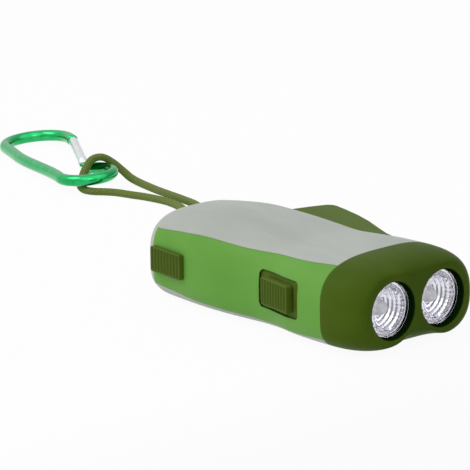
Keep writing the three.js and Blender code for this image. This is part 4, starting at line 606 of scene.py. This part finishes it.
def clip_path():
    """The clip's line: from the nose round the big end, along a cubic spine, and round the small end."""
    low = CLIP_SMALL_SIDE - CLIP_SMALL
    bend, pull, push = (CLIP_SPAN * s for s in (0.29, 0.5, 0.74))
    nose = np.linspace((CLIP_NOSE, CLIP_BIG), (0, CLIP_BIG), 12)
    turn = np.linspace(0.5, 1.5, 80)[1:] * np.pi
    big = circle(turn, CLIP_BIG)
    straight = np.linspace((0, -CLIP_BIG), (bend, -CLIP_BIG), 40)[1:]
    t = np.linspace(0, 1, 90)[1:, None]
    corners = np.array([[bend, -CLIP_BIG], [pull, -CLIP_BIG], [push, low], [CLIP_SPAN, low]])
    weights = ((1 - t) ** 3, 3 * (1 - t) ** 2 * t, 3 * (1 - t) * t**2, t**3)
    spine = sum(weight * corner for weight, corner in zip(weights, corners))
    turn = np.radians(np.linspace(-90, CLIP_END_TURN, 100))[1:]
    small = circle(turn, CLIP_SMALL) + [CLIP_SPAN, CLIP_SMALL_SIDE]
    flat = np.concatenate([nose, big, straight, spine, small])
    return evenly(np.concatenate([flat, np.zeros((len(flat), 1))], axis=1), CLIP_STEP)[0]


def make_clip():
    """The clip's bent bar, with its nose rounded as a ball end, and the two cheeks of the hinge."""
    line = clip_path()
    hinge, nose = line[-1], line[0]
    end = np.clip(np.arange(len(line)) * CLIP_STEP, 0, 1)
    radius = CLIP_BAR * np.sqrt(np.maximum(1 - (1 - end) ** 2, 0.04)) ** 0.5
    bar = capped(tube(line, UP, radius, radius, 2, 40))
    eye = local_disc(hinge, CLIP_BAR * 1.05, CLIP_BAR * 0.95, 0.3)
    fork = local_disc(hinge, CLIP_BAR + 0.6, 1.15, 0.05)
    mesh = carved(placed([bar, eye, fork], CLIP_ORIGIN, CLIP_AXES), ["UNION", "DIFFERENCE"])
    finished("clip_frame", mesh, "root", "anodised_green", ["carabiner_body"], sharp=38)
    make_gate(hinge, nose)


def local_disc(centre, radius, half, edge):
    """A low turned form on the clip's own upright axis, its two edges rounded by a quarter circle."""
    bend = np.linspace(0, QUARTER, 5)
    r = np.concatenate([[radius * 0.5], radius - edge * (1 - np.sin(bend))])
    z = np.concatenate([[half], half - edge * (1 - np.cos(bend))])
    profile = np.stack([np.concatenate([r, r[::-1]]), np.concatenate([z, -z[::-1]])], axis=-1)
    return capped(turned(profile, centre)[0])


def carved(parts, ways):
    """The first part joined with or cut by each of the others in turn, as one new mesh. The working
    objects go."""
    working = []
    for points, faces in parts:
        mesh = meshed("working", points.reshape(-1, 3), faces)
        tidy_mesh(mesh)
        working.append(into_scene("working", mesh))
    base = working[0]
    for tool, way in zip(working[1:], ways):
        change = base.modifiers.new("carve", "BOOLEAN")
        change.object, change.operation, change.solver = tool, way, "EXACT"
    bpy.context.view_layer.update()
    mesh = bpy.data.meshes.new_from_object(base.evaluated_get(bpy.context.evaluated_depsgraph_get()))
    for gone in working:
        bpy.data.objects.remove(gone)
    return mesh


def make_gate(hinge, nose):
    """The sprung gate: a turned bar with cosine ribs near its hinge and a domed end that follows the
    arc of its swing, and a flat tongue round the hinge pin."""
    out = nose - hinge
    span = np.linalg.norm(out)
    direction = out / span
    reach = np.hypot(nose[0] - hinge[0], nose[1] - CLIP_BAR - hinge[1]) - 0.3
    dome = min(reach, span) - 0.25 - GATE_TIP
    first, last = GATE_RIBS
    place = np.concatenate([np.linspace(GATE_START, GATE_SHOULDER, 4),
                            np.linspace(GATE_SHOULDER, last + 0.5, 110)[1:],
                            np.linspace(last + 0.5, dome, 40)[1:],
                            dome + GATE_TIP * np.sin(np.linspace(0, QUARTER, 10))[1:]])
    wave = (0.5 + 0.5 * np.cos((place - first) / GATE_RIB_PITCH * 2 * np.pi)) ** 0.8
    bulge = np.sqrt(np.maximum(1 - (np.maximum(place - dome, 0) / GATE_TIP) ** 2, 0))
    radius = np.select([place < GATE_SHOULDER, (place >= first) & (place <= last), place > dome],
                       [place - GATE_START + 1.3, GATE_RADIUS - GATE_RIB_DEPTH * wave,
                        GATE_RADIUS - GATE_TIP * (1 - bulge)], GATE_RADIUS)
    bar = capped(tube(hinge + direction * place[:, None], UP, radius, radius, 2, 36))
    s = np.linspace(-1.5, GATE_SHOULDER, 40)
    eye = np.sqrt(np.maximum(TONGUE_EYE**2 - np.minimum(s, TONGUE_NECK) ** 2, 0.05))
    half = np.maximum(np.where(s < TONGUE_NECK, eye, TONGUE_HALF), TONGUE_HALF * (s > 0))
    tongue = capped(tube(hinge + direction * s[:, None], UP, half, TONGUE_HALF, 8, 32))
    parts = placed([bar, tongue], CLIP_ORIGIN, CLIP_AXES)
    piece("clip_gate", parts, "carabiner_gate", "gate_metal", ["carabiner_gate"], sharp=40)


# Finishes

# A wave texture of this scale repeats once in one unit.
ONE_WAVE = 0.314


def linear(code):
    """An sRGB hex colour as the linear one that a shader works in."""
    parts = [int(code[i:i + 2], 16) / 255 for i in (1, 3, 5)]
    return [c / 12.92 if c <= 0.04045 else ((c + 0.055) / 1.055) ** 2.4 for c in parts] + [1.0]


def add(tree, kind, settings=None, links=None, **choices):
    """Adds one node: settings are its sockets' values, and links are what feeds its sockets, where a
    node stands for its first output."""
    node = tree.nodes.new("ShaderNode" + kind)
    for name, value in choices.items():
        setattr(node, name, value)
    for socket, value in (settings or {}).items():
        node.inputs[socket].default_value = value
    for socket, source in (links or {}).items():
        link(tree, source, node.inputs[socket])
    return node


def link(tree, source, socket):
    tree.links.new(source.outputs[0] if isinstance(source, bpy.types.Node) else source, socket)


def begin(name, follows="Object", **values):
    """A new material with one Principled shader, whose constants are set on its own sockets, and the
    coordinates that its textures follow."""
    made = bpy.data.materials.new(name)
    made.use_nodes = True
    shader = made.node_tree.nodes["Principled BSDF"]
    for socket, value in values.items():
        shader.inputs[socket.replace("_", " ")].default_value = value
    return made, made.node_tree, shader, add(made.node_tree, "TexCoord").outputs[follows]


def bumped(tree, shader, weave_height_and_shade, lift_mm, strength=1.0):
    """Feeds a height into the shader's normal."""
    link(tree, add(tree, "Bump", {"Strength": strength, "Distance": lift_mm * MM}, {"Height": weave_height_and_shade}),
         shader.inputs["Normal"])


def varied(tree, shader, factor, first, second, between=None):
    """Mixes two colours by a factor, or by where it lies between two values, into the shader's own."""
    if between is not None:
        start, end = between
        factor = add(tree, "MapRange", {"From Min": start, "From Max": end}, {"Value": factor})
    mix = add(tree, "Mix", {6: linear(first), 7: linear(second)}, {0: factor}, data_type="RGBA")
    tree.links.new(mix.outputs[2], shader.inputs["Base Color"])


def ranged(tree, shader, factor, low, high, socket="Roughness"):
    """Spreads a factor over a range of values and feeds it into one of the shader's sockets."""
    link(tree, add(tree, "MapRange", {"To Min": low, "To Max": high}, {"Value": factor}),
         shader.inputs[socket])


def moulded(name, dark, light, rough, grain_mm, lift_mm, shine=0.5, **values):
    """Moulded plastic: a spark-eroded grain in its height and gloss, and slow flow streaks in its
    colour along the part."""
    made, tree, shader, place = begin(name, Specular_IOR_Level=shine, **values)
    grain = add(tree, "TexNoise", {"Scale": 1 / (grain_mm * MM), "Detail": 3.0, "Roughness": 0.65},
                {"Vector": place})
    stretched = add(tree, "Mapping", {"Scale": (0.35, 1.0, 1.0)}, {"Vector": place})
    flow = add(tree, "TexNoise", {"Scale": 1 / (26 * MM), "Detail": 4.0, "Roughness": 0.55,
                                  "Distortion": 0.4}, {"Vector": stretched})
    both = add(tree, "Math", {1: 0.25}, {0: grain, 2: flow}, operation="MULTIPLY_ADD")
    varied(tree, shader, both, dark, light, (0.42, 0.82))
    ranged(tree, shader, grain, rough - 0.07, rough + 0.09)
    bumped(tree, shader, grain, lift_mm)
    return made


def drawn_metal(name, dark, light, rough, stretch, line_mm, **values):
    """Bare metal with fine tool lines: noise drawn out along one direction, in colour, gloss and
    height."""
    made, tree, shader, place = begin(name, Metallic=1.0, **values)
    drawn = add(tree, "Mapping", {"Scale": stretch}, {"Vector": place})
    lines = add(tree, "TexNoise", {"Scale": 1 / (line_mm * MM), "Detail": 3.0}, {"Vector": drawn})
    stain = add(tree, "TexNoise", {"Scale": 1 / (7 * MM), "Detail": 2.0}, {"Vector": place})
    both = add(tree, "Mix", {0: 0.4}, {2: lines, 3: stain}, data_type="FLOAT")
    varied(tree, shader, both, dark, light, (0.3, 0.7))
    ranged(tree, shader, both, rough - 0.08, rough + 0.1)
    bumped(tree, shader, lines, 0.004)
    return made


def waved(name, dark, light, wave_mm, detail, lift_mm, gloss=None, **values):
    """A smooth moulding with a slight waviness in its tint and height, and in its gloss if asked."""
    made, tree, shader, place = begin(name, **values)
    wave = add(tree, "TexNoise", {"Scale": 1 / (wave_mm * MM), "Detail": detail}, {"Vector": place})
    varied(tree, shader, wave, dark, light)
    if gloss is not None:
        ranged(tree, shader, wave, *gloss)
    bumped(tree, shader, wave, lift_mm)
    return made


def banded(name, dark, light, rough, pitch_mm, direction):
    """Metal in bands a fixed pitch apart: the turns of a winding, or the sheets of a laminated core."""
    made, tree, shader, place = begin(name, Metallic=1.0)
    bands = add(tree, "TexWave", {"Scale": ONE_WAVE / (pitch_mm * MM), "Distortion": 0.3},
                {"Vector": place}, bands_direction=direction).outputs["Fac"]
    soil = add(tree, "TexNoise", {"Scale": 1 / (2.5 * MM), "Detail": 2.0}, {"Vector": place})
    both = add(tree, "Mix", {0: 0.35}, {2: bands, 3: soil}, data_type="FLOAT")
    varied(tree, shader, both, dark, light)
    ranged(tree, shader, soil, rough, rough + 0.15)
    bumped(tree, shader, bands, 0.06)
    return made


def woven_cord():
    """Braided polyester, dull: crossing threads 0.85 mm apart in olive, darker in the hollows as painted
    shade, with fibres that catch the light as a soft sheen."""
    made, tree, shader, place = begin("braided_polyester_olive", "UV", Roughness=0.85, Sheen_Weight=0.2,
                                      Sheen_Roughness=0.5, Sheen_Tint=linear("#9aa86a"))
    ways = {}
    for socket, turn in enumerate((0.72, -0.72)):
        lie = add(tree, "Mapping", {"Rotation": (0, 0, turn)}, {"Vector": place})
        ways[socket] = add(tree, "TexWave", {"Scale": ONE_WAVE / 0.85, "Distortion": 0.6, "Detail": 1.0},
                           {"Vector": lie}, bands_direction="X").outputs["Fac"]
    over = add(tree, "Math", {}, ways, operation="MAXIMUM")
    fibre = add(tree, "TexNoise", {"Scale": 9.0, "Detail": 3.0}, {"Vector": place})
    weave_height_and_shade = add(tree, "Math", {1: 0.35}, {0: fibre, 2: over}, operation="MULTIPLY_ADD")
    # painted shade: the colour follows the weave's height, darker in its hollows, with random fibre tone on
    # top
    varied(tree, shader, weave_height_and_shade, "#43511a", "#748638", (0.1, 1.25))
    bumped(tree, shader, weave_height_and_shade, 0.1, 0.7)
    return made


def solder_mask():
    """Green lacquered board: raised copper tracks 1.6 mm apart under the lacquer, and glass weave."""
    made, tree, shader, place = begin("lacquered_board", Roughness=0.32)
    tracks = add(tree, "TexBrick", {"Scale": 1 / (6.4 * MM), "Mortar Size": 0.05, "Mortar Smooth": 0.2,
                                    "Color1": linear("#1d6537"), "Color2": linear("#227040"),
                                    "Mortar": linear("#3f9a5b")}, {"Vector": place})
    weave = add(tree, "TexNoise", {"Scale": 1 / (0.5 * MM)}, {"Vector": place})
    shade = add(tree, "Mix", {0: 0.15}, {6: tracks, 7: weave.outputs["Color"]}, data_type="RGBA")
    tree.links.new(shade.outputs[2], shader.inputs["Base Color"])
    bumped(tree, shader, tracks.outputs["Fac"], 0.05)
    return made


def paint_shade_in_bores(made):
    """Painted shade on the walls round the lenses: near black and without shine within the bores, by the
    distance from the nearer lens's axis."""
    tree = made.node_tree
    shader = tree.nodes["Principled BSDF"]
    plain = shader.inputs["Base Color"].links[0].from_socket
    place = add(tree, "SeparateXYZ", {}, {"Vector": add(tree, "TexCoord").outputs["Object"]})
    aside = add(tree, "Math", {}, {0: place.outputs["Y"]}, operation="ABSOLUTE")
    away = add(tree, "CombineXYZ", {}, {"X": aside, "Y": place.outputs["Z"]})
    radius = add(tree, "VectorMath", {1: (LENS_SIDE * MM, AXIS_HEIGHT * MM, 0)}, {0: away},
                 operation="DISTANCE")
    bore_shade_mask = add(tree, "MapRange", {"From Min": 9.45 * MM, "From Max": 9.1 * MM},
               {"Value": radius.outputs["Value"]})
    # painted shade: the bores' walls are mixed toward a near-black olive
    mix = add(tree, "Mix", {7: linear("#10240a")}, {0: bore_shade_mask, 6: plain}, data_type="RGBA")
    tree.links.new(mix.outputs[2], shader.inputs["Base Color"])
    ranged(tree, shader, bore_shade_mask, 0.05, 0.0, "Specular IOR Level")


# One finish for each material slot. Each comment says what the real one gives the eye.
SHARED = {
    # ABS from a spark-eroded mould: even, dry and very slightly streaked.
    "grey_shell": moulded("spark_eroded_abs_grey", "#aeb2aa", "#c1c5bd", 0.5, 0.45, 0.014, 0.3),
    # Satin ABS in leaf green: smoother than the grey, with a soft broad shine.
    "green_panel": moulded("satin_abs_leaf_green", "#64a03c", "#70ab48", 0.45, 0.4, 0.007, 0.13),
    # Satin ABS in olive: darker, the same mould finish.
    "olive_shell": moulded("satin_abs_olive", "#475a14", "#556b1b", 0.45, 0.4, 0.007, 0.1),
    # The lever's olive is a little lighter and drier, as it is handled.
    "olive_lever": moulded("handled_abs_olive", "#4d6320", "#5a702a", 0.5, 0.5, 0.01, 0.05),
    # Acetal: black, waxy and even.
    "black_plastic": moulded("acetal_black", "#1e2022", "#292b2e", 0.45, 0.4, 0.008),
    # Nylon: off-white and slightly waxy, as gears are.
    "white_nylon": moulded("nylon_natural", "#dedbce", "#ebe9e0", 0.42, 0.5, 0.008,
                           Subsurface_Weight=0.08),
    # PVC on wire: glossy and soft.
    "wire_red": moulded("pvc_red", "#a82019", "#bd2c23", 0.32, 0.3, 0.01),
    "wire_black": moulded("pvc_black", "#161618", "#222225", 0.32, 0.3, 0.01),
    # Moulded acrylic: clear, with a faint cool tint and very slight waviness from the mould.
    "lens_clear": waved("clear_acrylic", "#fafafd", "#fefeff", 3, 1.0, 0.01, IOR=1.49, Roughness=0.03,
                        Transmission_Weight=1.0),
    # Cast epoxy: milky white, with a soft waviness.
    "lamp_clear": waved("clear_epoxy", "#f4f4fa", "#fefeff", 1.5, 2.0, 0.01, IOR=1.54, Roughness=0.05,
                        Transmission_Weight=0.15),
    # Vacuum-metallised plastic: a bright film over the mould's fine orange peel.
    "reflector": waved("vacuum_metallised_film", "#e6e5ec", "#fbfaff", 0.9, 2.0, 0.02, (0.07, 0.16),
                       Metallic=1.0),
    "strap": woven_cord(),
    # Bright anodised aluminium: the bar's drawn lines show through a clear green layer.
    "anodised_green": drawn_metal("anodised_aluminium_green", "#20a458", "#3ac275", 0.18,
                                  (0.2, 0.2, 0.2), 0.5, Coat_Weight=0.05, Coat_Roughness=0.1),
    # Polished aluminium bar: near white, with faint turning lines.
    "gate_metal": drawn_metal("polished_aluminium", "#e8eaec", "#fbfcfc", 0.26, (1, 1, 1), 0.4),
    # Turned and plated steel: fine lines round it, slightly dulled.
    "steel": drawn_metal("plated_steel", "#a9adb1", "#c6c9cc", 0.3, (1, 1, 6), 0.6),
    # Sintered ferrite: charcoal, gritty, hardly any shine.
    "magnet": moulded("sintered_ferrite", "#343537", "#434447", 0.6, 0.25, 0.03),
    # Steel sheets stacked into a core, and enamelled wire wound in even turns.
    "core_steel": banded("laminated_core_steel", "#56585b", "#7d8084", 0.38, 0.5, "Z"),
    "copper": banded("enamelled_copper", "#8d4520", "#c8733a", 0.25, 0.45, "X"),
    # Brass strip: warm, rolled lines.
    "spring_brass": drawn_metal("rolled_brass", "#b8923f", "#d3ae58", 0.28, (1, 8, 8), 0.8),
    # Stamped zinc-plated plate: dull silver, rolled lines.
    "bridge_metal": drawn_metal("stamped_zinc_plate", "#83878c", "#9b9fa4", 0.4, (8, 1, 1), 0.8),
    "board": solder_mask(),
}
# The front's olive is the shell's, darker and duller: a copy with painted shade, and nearly black in the
# bores as painted shade.
FRONT_PAINTED_SHADE_FINISH = moulded("satin_abs_olive_front_painted_shade", "#405610", "#4e6615", 0.45, 0.4, 0.007, 0.05)
paint_shade_in_bores(FRONT_PAINTED_SHADE_FINISH)


def dress_nodes():
    """Every solid that still shows takes the finish of its slot."""
    for part in frame["record"]["subparts"]:
        node = frame["nodes"][part["node"]]
        if not node.hide_render:
            node.data.materials.clear()
            node.data.materials.append(SHARED[part["material_slot"]])


# The pieces

def opening(origin, slope, along, length, weave_height_and_shade, corner):
    """An opening in the side, as how far a place and a height are outside its rounded rectangle: less
    than nothing inside it. Its middle is shifted along the side's slope."""
    def gap(x, z):
        a = np.abs((x - origin[0]) / slope - along) - (length / 2 - corner)
        b = np.abs(z - origin[2]) - (weave_height_and_shade / 2 - corner)
        return np.hypot(np.maximum(a, 0), np.maximum(b, 0)) + np.minimum(np.maximum(a, b), 0) - corner
    return gap


SWITCH_WINDOW = opening(SWITCH_ORIGIN, SWITCH_AXES[0, 0], SWITCH_ALONG, 21.4, 12.2, 1.9)
STEM_SLOT = opening(SWITCH_ORIGIN, SWITCH_AXES[0, 0], 1, 6.8, 3.4, 0.3)
LOCK_SLOT = opening(LOCK_ORIGIN, LOCK_AXES[0, 0], 1.35, 7.3, 4.0, 0.3)
LEVER_SLOT = opening((-6.3, 0, 14.15), 1, 0, 69.2, 15.4, 0.5)


def make_housing():
    """The two covers, the seats of the screws that join them, and the two side panels."""
    for name, node, up, screws in (("grey_top", "top_cover", True, ()),
                                   ("grey_base", "bottom_cover", False, HOUSING_SCREWS)):
        points, keep = cover_grid(up)
        x, y, z = np.moveaxis(points, -1, 0)
        for screw in screws:
            x, y = cut_hole(x, y, keep, lambda a, b: (np.hypot(a - screw[0], b - screw[1])
                                                      - SCREW_SEAT_RADIUS))
        moved = (x != points[..., 0]) | (y != points[..., 1])
        points = np.stack([x, y, np.where(moved, underside(x, y), z)], axis=-1)
        parts = [joined(points, keep=keep), tail_cap(points[-1], up)]
        piece(name, parts, "root", "grey_shell", [node], MIDDLE, wall=WALL, rounding=EDGE_ROUND)
    for i, screw in enumerate(HOUSING_SCREWS):
        rows, faces = turned(SCREW_SEAT, screw)
        lowest = underside(rows[..., 0], rows[..., 1]) + SCREW_SEAT_LIFT
        rows[..., 2] = np.maximum(rows[..., 2], lowest)
        piece(f"screw_seat_{i + 1}", [(rows, faces)], "root", "grey_shell", sharp=30)
    for name, side, node, holes in (
            ("green_side_near", -1, "side_panel_right", [SWITCH_WINDOW, LOCK_SLOT]),
            ("green_side_far", 1, "side_panel_left", [LEVER_SLOT])):
        piece(name, [panel_grid(side, holes)], "root", "green_panel", [node], MIDDLE, wall=WALL,
              rounding=EDGE_ROUND)


def make_optics():
    """Behind each lens, a bowl whose radius grows as a root of the depth and steps in rings, with
    facets near its rim, and a lamp with a half-round end. Over it, a lens whose middle is raised and
    falls to its border as a logistic curve."""
    share = np.linspace(0, 1, 97)
    bowl = BOWL_BACK_RADIUS + BOWL_SPREAD * np.sqrt(share)
    ripple = RING_DEPTH * np.abs(np.sin(share**0.6 * BOWL_RINGS * np.pi))
    place = BOWL_BACK_X + BOWL_LENGTH * share
    inside = np.stack([bowl - ripple - BOWL_WALL, place], axis=-1)
    outside = np.stack([bowl, place], axis=-1)[::-1]
    wall = np.concatenate([inside, outside, inside[:1]])
    depth = FACET_DEPTH * np.clip((share - 0.45) / 0.4, 0, 1)
    depth = np.concatenate([depth, 0 * depth, depth[:1]])
    radius = LENS_FACE_RADIUS * np.linspace(1, 0, 60)
    fall = 1 / (1 + np.exp((radius - LENS_RAISED_RADIUS) / 0.28))
    face = LENS_FACE_X + LENS_RAISED * fall * (1 - 0.15 * (radius / LENS_RAISED_RADIUS) ** 2)
    lens = np.concatenate([LENS_EDGE, np.stack([radius, face], axis=-1)])
    dome = circle(np.linspace(0, QUARTER, 14), LAMP_RADIUS) + [0, LAMP_DOME_X]
    lamp = np.concatenate([LAMP_FOOT, dome])
    for name, side in (("right", -LENS_SIDE), ("left", LENS_SIDE)):
        for kind, profile, sides, facets, slot, node, sharp in (
                ("bright_bowl", wall, 192, (FACETS, depth), "reflector", "reflector", 50),
                ("clear_lens", lens, 128, None, "lens_clear", "lens", 40),
                ("lamp_dome", lamp, 48, None, "lamp_clear", "led", 40)):
            form = turned(profile, (side, AXIS_HEIGHT), sides, facets, lying=True)
            piece(f"{kind}_{name}", [form], "root", slot, [f"{node}_{name}"], sharp=sharp)


def make_sliders():
    """Both ribbed pads, each with its stem, on the side's slope."""
    for name, node, body, size, stem, origin, axes, along in (
            ("power_slider", "switch_knob", "power_switch", SWITCH_PAD, SWITCH_STEM,
             SWITCH_ORIGIN, SWITCH_AXES, SWITCH_ALONG),
            ("lever_lock_slider", "lock_knob", "lever_lock", LOCK_PAD, LOCK_STEM,
             LOCK_ORIGIN, LOCK_AXES, LOCK_ALONG)):
        pad = [(points + [along, 0, 0], faces) for points, faces in pad_parts(*size)]
        parts = placed(pad + [stem_part(*stem)], origin, axes)
        piece(name, parts, body, "olive_shell", [node], sharp=32)


def make_surround():
    """The switch's olive surround: the side's own surface set in a little, out to the window's line,
    with a slot for the slider's stem."""
    gap = 0.02
    x, z = np.meshgrid(np.linspace(4.4, 26.8, 120), np.linspace(7.6, 20.6, 70), indexing="ij")
    form = holed_side(x, z, [lambda a, b: -gap - SWITCH_WINDOW(a, b), STEM_SLOT], -1, SURROUND_DEPTH)
    piece("switch_surround", [form], "root", "olive_shell", ["switch_bezel"], MIDDLE,
          wall=SURROUND_WALL, rounding=SURROUND_ROUND)


def make_lever():
    """The lever's own solid, merged, with its far corner and the long edges of its plate and grip
    rounded."""
    mesh = frame["nodes"]["lever"].data.copy()
    mesh.materials.clear()
    work = bmesh.new()
    work.from_mesh(mesh)
    bmesh.ops.remove_doubles(work, verts=work.verts, dist=2e-6)
    bmesh.ops.dissolve_limit(work, angle_limit=0.004, verts=work.verts, edges=work.edges)
    corner = []
    for edge in work.edges:
        ends = [v.co / MM for v in edge.verts]
        bore_shade_mask = all(math.hypot(p.x - LEVER_CORNER[0], p.y - LEVER_CORNER[1]) < 1.6 for p in ends)
        if bore_shade_mask and abs(ends[0].z - ends[1].z) > 5:
            corner.append(edge)
    bmesh.ops.bevel(work, geom=corner, offset=LEVER_CORNER_ROUND * MM, segments=6, profile=0.5,
                    affect="EDGES")
    weight = work.edges.layers.float.new("bevel_weight_edge")
    for edge in work.edges:
        on_rim = any(all(abs(v.co.z / MM - rim) < 0.01 for v in edge.verts) for rim in LEVER_RIMS)
        if on_rim and len(edge.link_faces) == 2 and edge.calc_face_angle(0) > 0.9:
            edge[weight] = 1.0
    work.to_mesh(mesh)
    work.free()
    grip = finished("squeeze_grip", mesh, "lever", "olive_lever", ["lever"], sharp=35)
    round_edges(grip, LEVER_ROUND, "WEIGHT")


# Floor, light and camera

def cleared(data):
    """The empty node tree of a material or a world."""
    data.use_nodes = True
    data.node_tree.nodes.clear()
    return data.node_tree


def any_ray(tree, *kinds):
    """One where a ray is of any of these kinds, and nothing elsewhere."""
    path = add(tree, "LightPath").outputs
    found = path[f"Is {kinds[0]} Ray"]
    for kind in kinds[1:]:
        found = add(tree, "Math", {}, {0: found, 1: path[f"Is {kind} Ray"]}, operation="MAXIMUM")
    return found


def make_floor():
    """A plain pale floor. The camera, and shiny or clear surfaces, see it nearly white, with the
    object's shadow kept faintly on it. It sends less light up in front of the lenses, where the
    photograph's front stays dark."""
    mesh = bpy.data.meshes.new("studio_floor")
    corners = [(x, y, -5e-5) for x, y in ((-4, -4), (4, -4), (4, 4), (-4, 4))]
    mesh.from_pydata(corners, [], [(0, 1, 2, 3)])
    floor = into_scene("studio_floor", mesh)
    made = bpy.data.materials.new("pale_paper")
    tree = cleared(made)
    place = add(tree, "TexCoord").outputs["Object"]
    fine = add(tree, "TexNoise", {"Scale": 900.0}, {"Vector": place})
    shade = add(tree, "Mix", {6: linear("#f4f4f3"), 7: linear("#f8f8f7")}, {0: fine}, data_type="RGBA")
    ahead = add(tree, "SeparateXYZ", {}, {"Vector": place})
    level = add(tree, "MapRange", {"From Min": 0.04, "From Max": 0.12, "To Min": 1.0, "To Max": 0.5},
                {"Value": ahead})
    dimmed = add(tree, "VectorMath", {}, {0: shade.outputs[2], "Scale": level}, operation="SCALE")
    paper = add(tree, "BsdfDiffuse", {}, {"Color": dimmed})
    white = add(tree, "Emission", {"Color": (1, 1, 1, 1), "Strength": 1.0})
    part = add(tree, "Math", {1: 0.94}, {0: any_ray(tree, "Camera", "Glossy", "Transmission")},
               operation="MULTIPLY")
    mix = add(tree, "MixShader", {}, {0: part, 1: paper, 2: white})
    add(tree, "OutputMaterial", {}, {"Surface": mix})
    mesh.materials.append(made)


def facing(tree, way, towards, start, end, least, most):
    """A brightness that grows from least to most as a direction comes to face another."""
    turn = add(tree, "VectorMath", {1: towards}, {0: way}, operation="DOT_PRODUCT")
    return add(tree, "MapRange", {"From Min": start, "From Max": end, "To Min": least, "To Max": most},
               {"Value": turn.outputs["Value"]})


def make_light():
    """A soft sky, brightest above the tail on the sliders' side, and white to the camera. Shiny and
    clear surfaces also see a pale card in it, up in front. Two square panels aim at the part."""
    world = bpy.data.worlds.new("studio")
    bpy.context.scene.world = world
    tree = cleared(world)
    way = add(tree, "TexCoord").outputs["Generated"]
    level = facing(tree, way, (-0.55, -0.38, 0.78), -0.7, 1.0, 0.14, 1.0)
    card = facing(tree, way, (0.75, -0.1, 0.65), 0.62, 0.8, 0.18, 1.05)
    strength = add(tree, "Math", {}, {0: any_ray(tree, "Glossy", "Transmission"), 1: card, 2: level},
                   operation="MULTIPLY_ADD")
    soft = add(tree, "Background", {"Color": linear("#f2f3f5")}, {"Strength": strength})
    white = add(tree, "Background", {"Color": (1, 1, 1, 1), "Strength": 1.0})
    mix = add(tree, "MixShader", {}, {0: any_ray(tree, "Camera"), 1: soft, 2: white})
    add(tree, "OutputWorld", {}, {"Surface": mix})
    for name, place, size, power in (("key_panel", (-0.5, -0.65, 1.0), 0.7, 3.4),
                                     ("front_panel", (0.9, -0.5, 0.8), 0.35, 0.9)):
        lamp = bpy.data.lights.new(name, "AREA")
        lamp.shape, lamp.size, lamp.energy = "SQUARE", size, power
        back = unit(np.array(place))
        right = unit(np.cross(UP, back))
        stand(into_scene(name, lamp), place, right, np.cross(back, right), back)


def stand(item, place, right, up, back):
    """Puts a lamp or the camera in its place, looking away from back."""
    turn = Matrix(np.stack([right, up, back], axis=1).tolist()).to_4x4()
    item.matrix_world = Matrix.Translation(place) @ turn


def make_camera():
    """The photograph's view: turned 47.16 degrees, raised 14.69, rolled -0.72, from 1.54 m away."""
    turn, rise, roll = (math.radians(v) for v in (47.16, 14.69, -0.72))
    back = np.array([math.sin(turn) * math.cos(rise), -math.cos(turn) * math.cos(rise), math.sin(rise)])
    right = np.array([math.cos(turn), math.sin(turn), 0])
    up = np.cross(back, right)
    lens = bpy.data.cameras.new("view")
    lens.lens, lens.sensor_width, lens.clip_start, lens.clip_end = 374.8, 36.0, 0.1, 12.0
    camera = into_scene("view", lens)
    stand(camera, (1.0736, -1.0231, 0.4147), right * math.cos(roll) + up * math.sin(roll),
          up * math.cos(roll) - right * math.sin(roll), back)
    bpy.context.scene.camera = camera


bpy.context.scene.view_settings.view_transform = "Standard"
make_camera()
make_strap()
make_clip()
make_housing()
make_front()
make_optics()
make_sliders()
make_surround()
make_lever()
dress_nodes()
make_floor()
make_light()
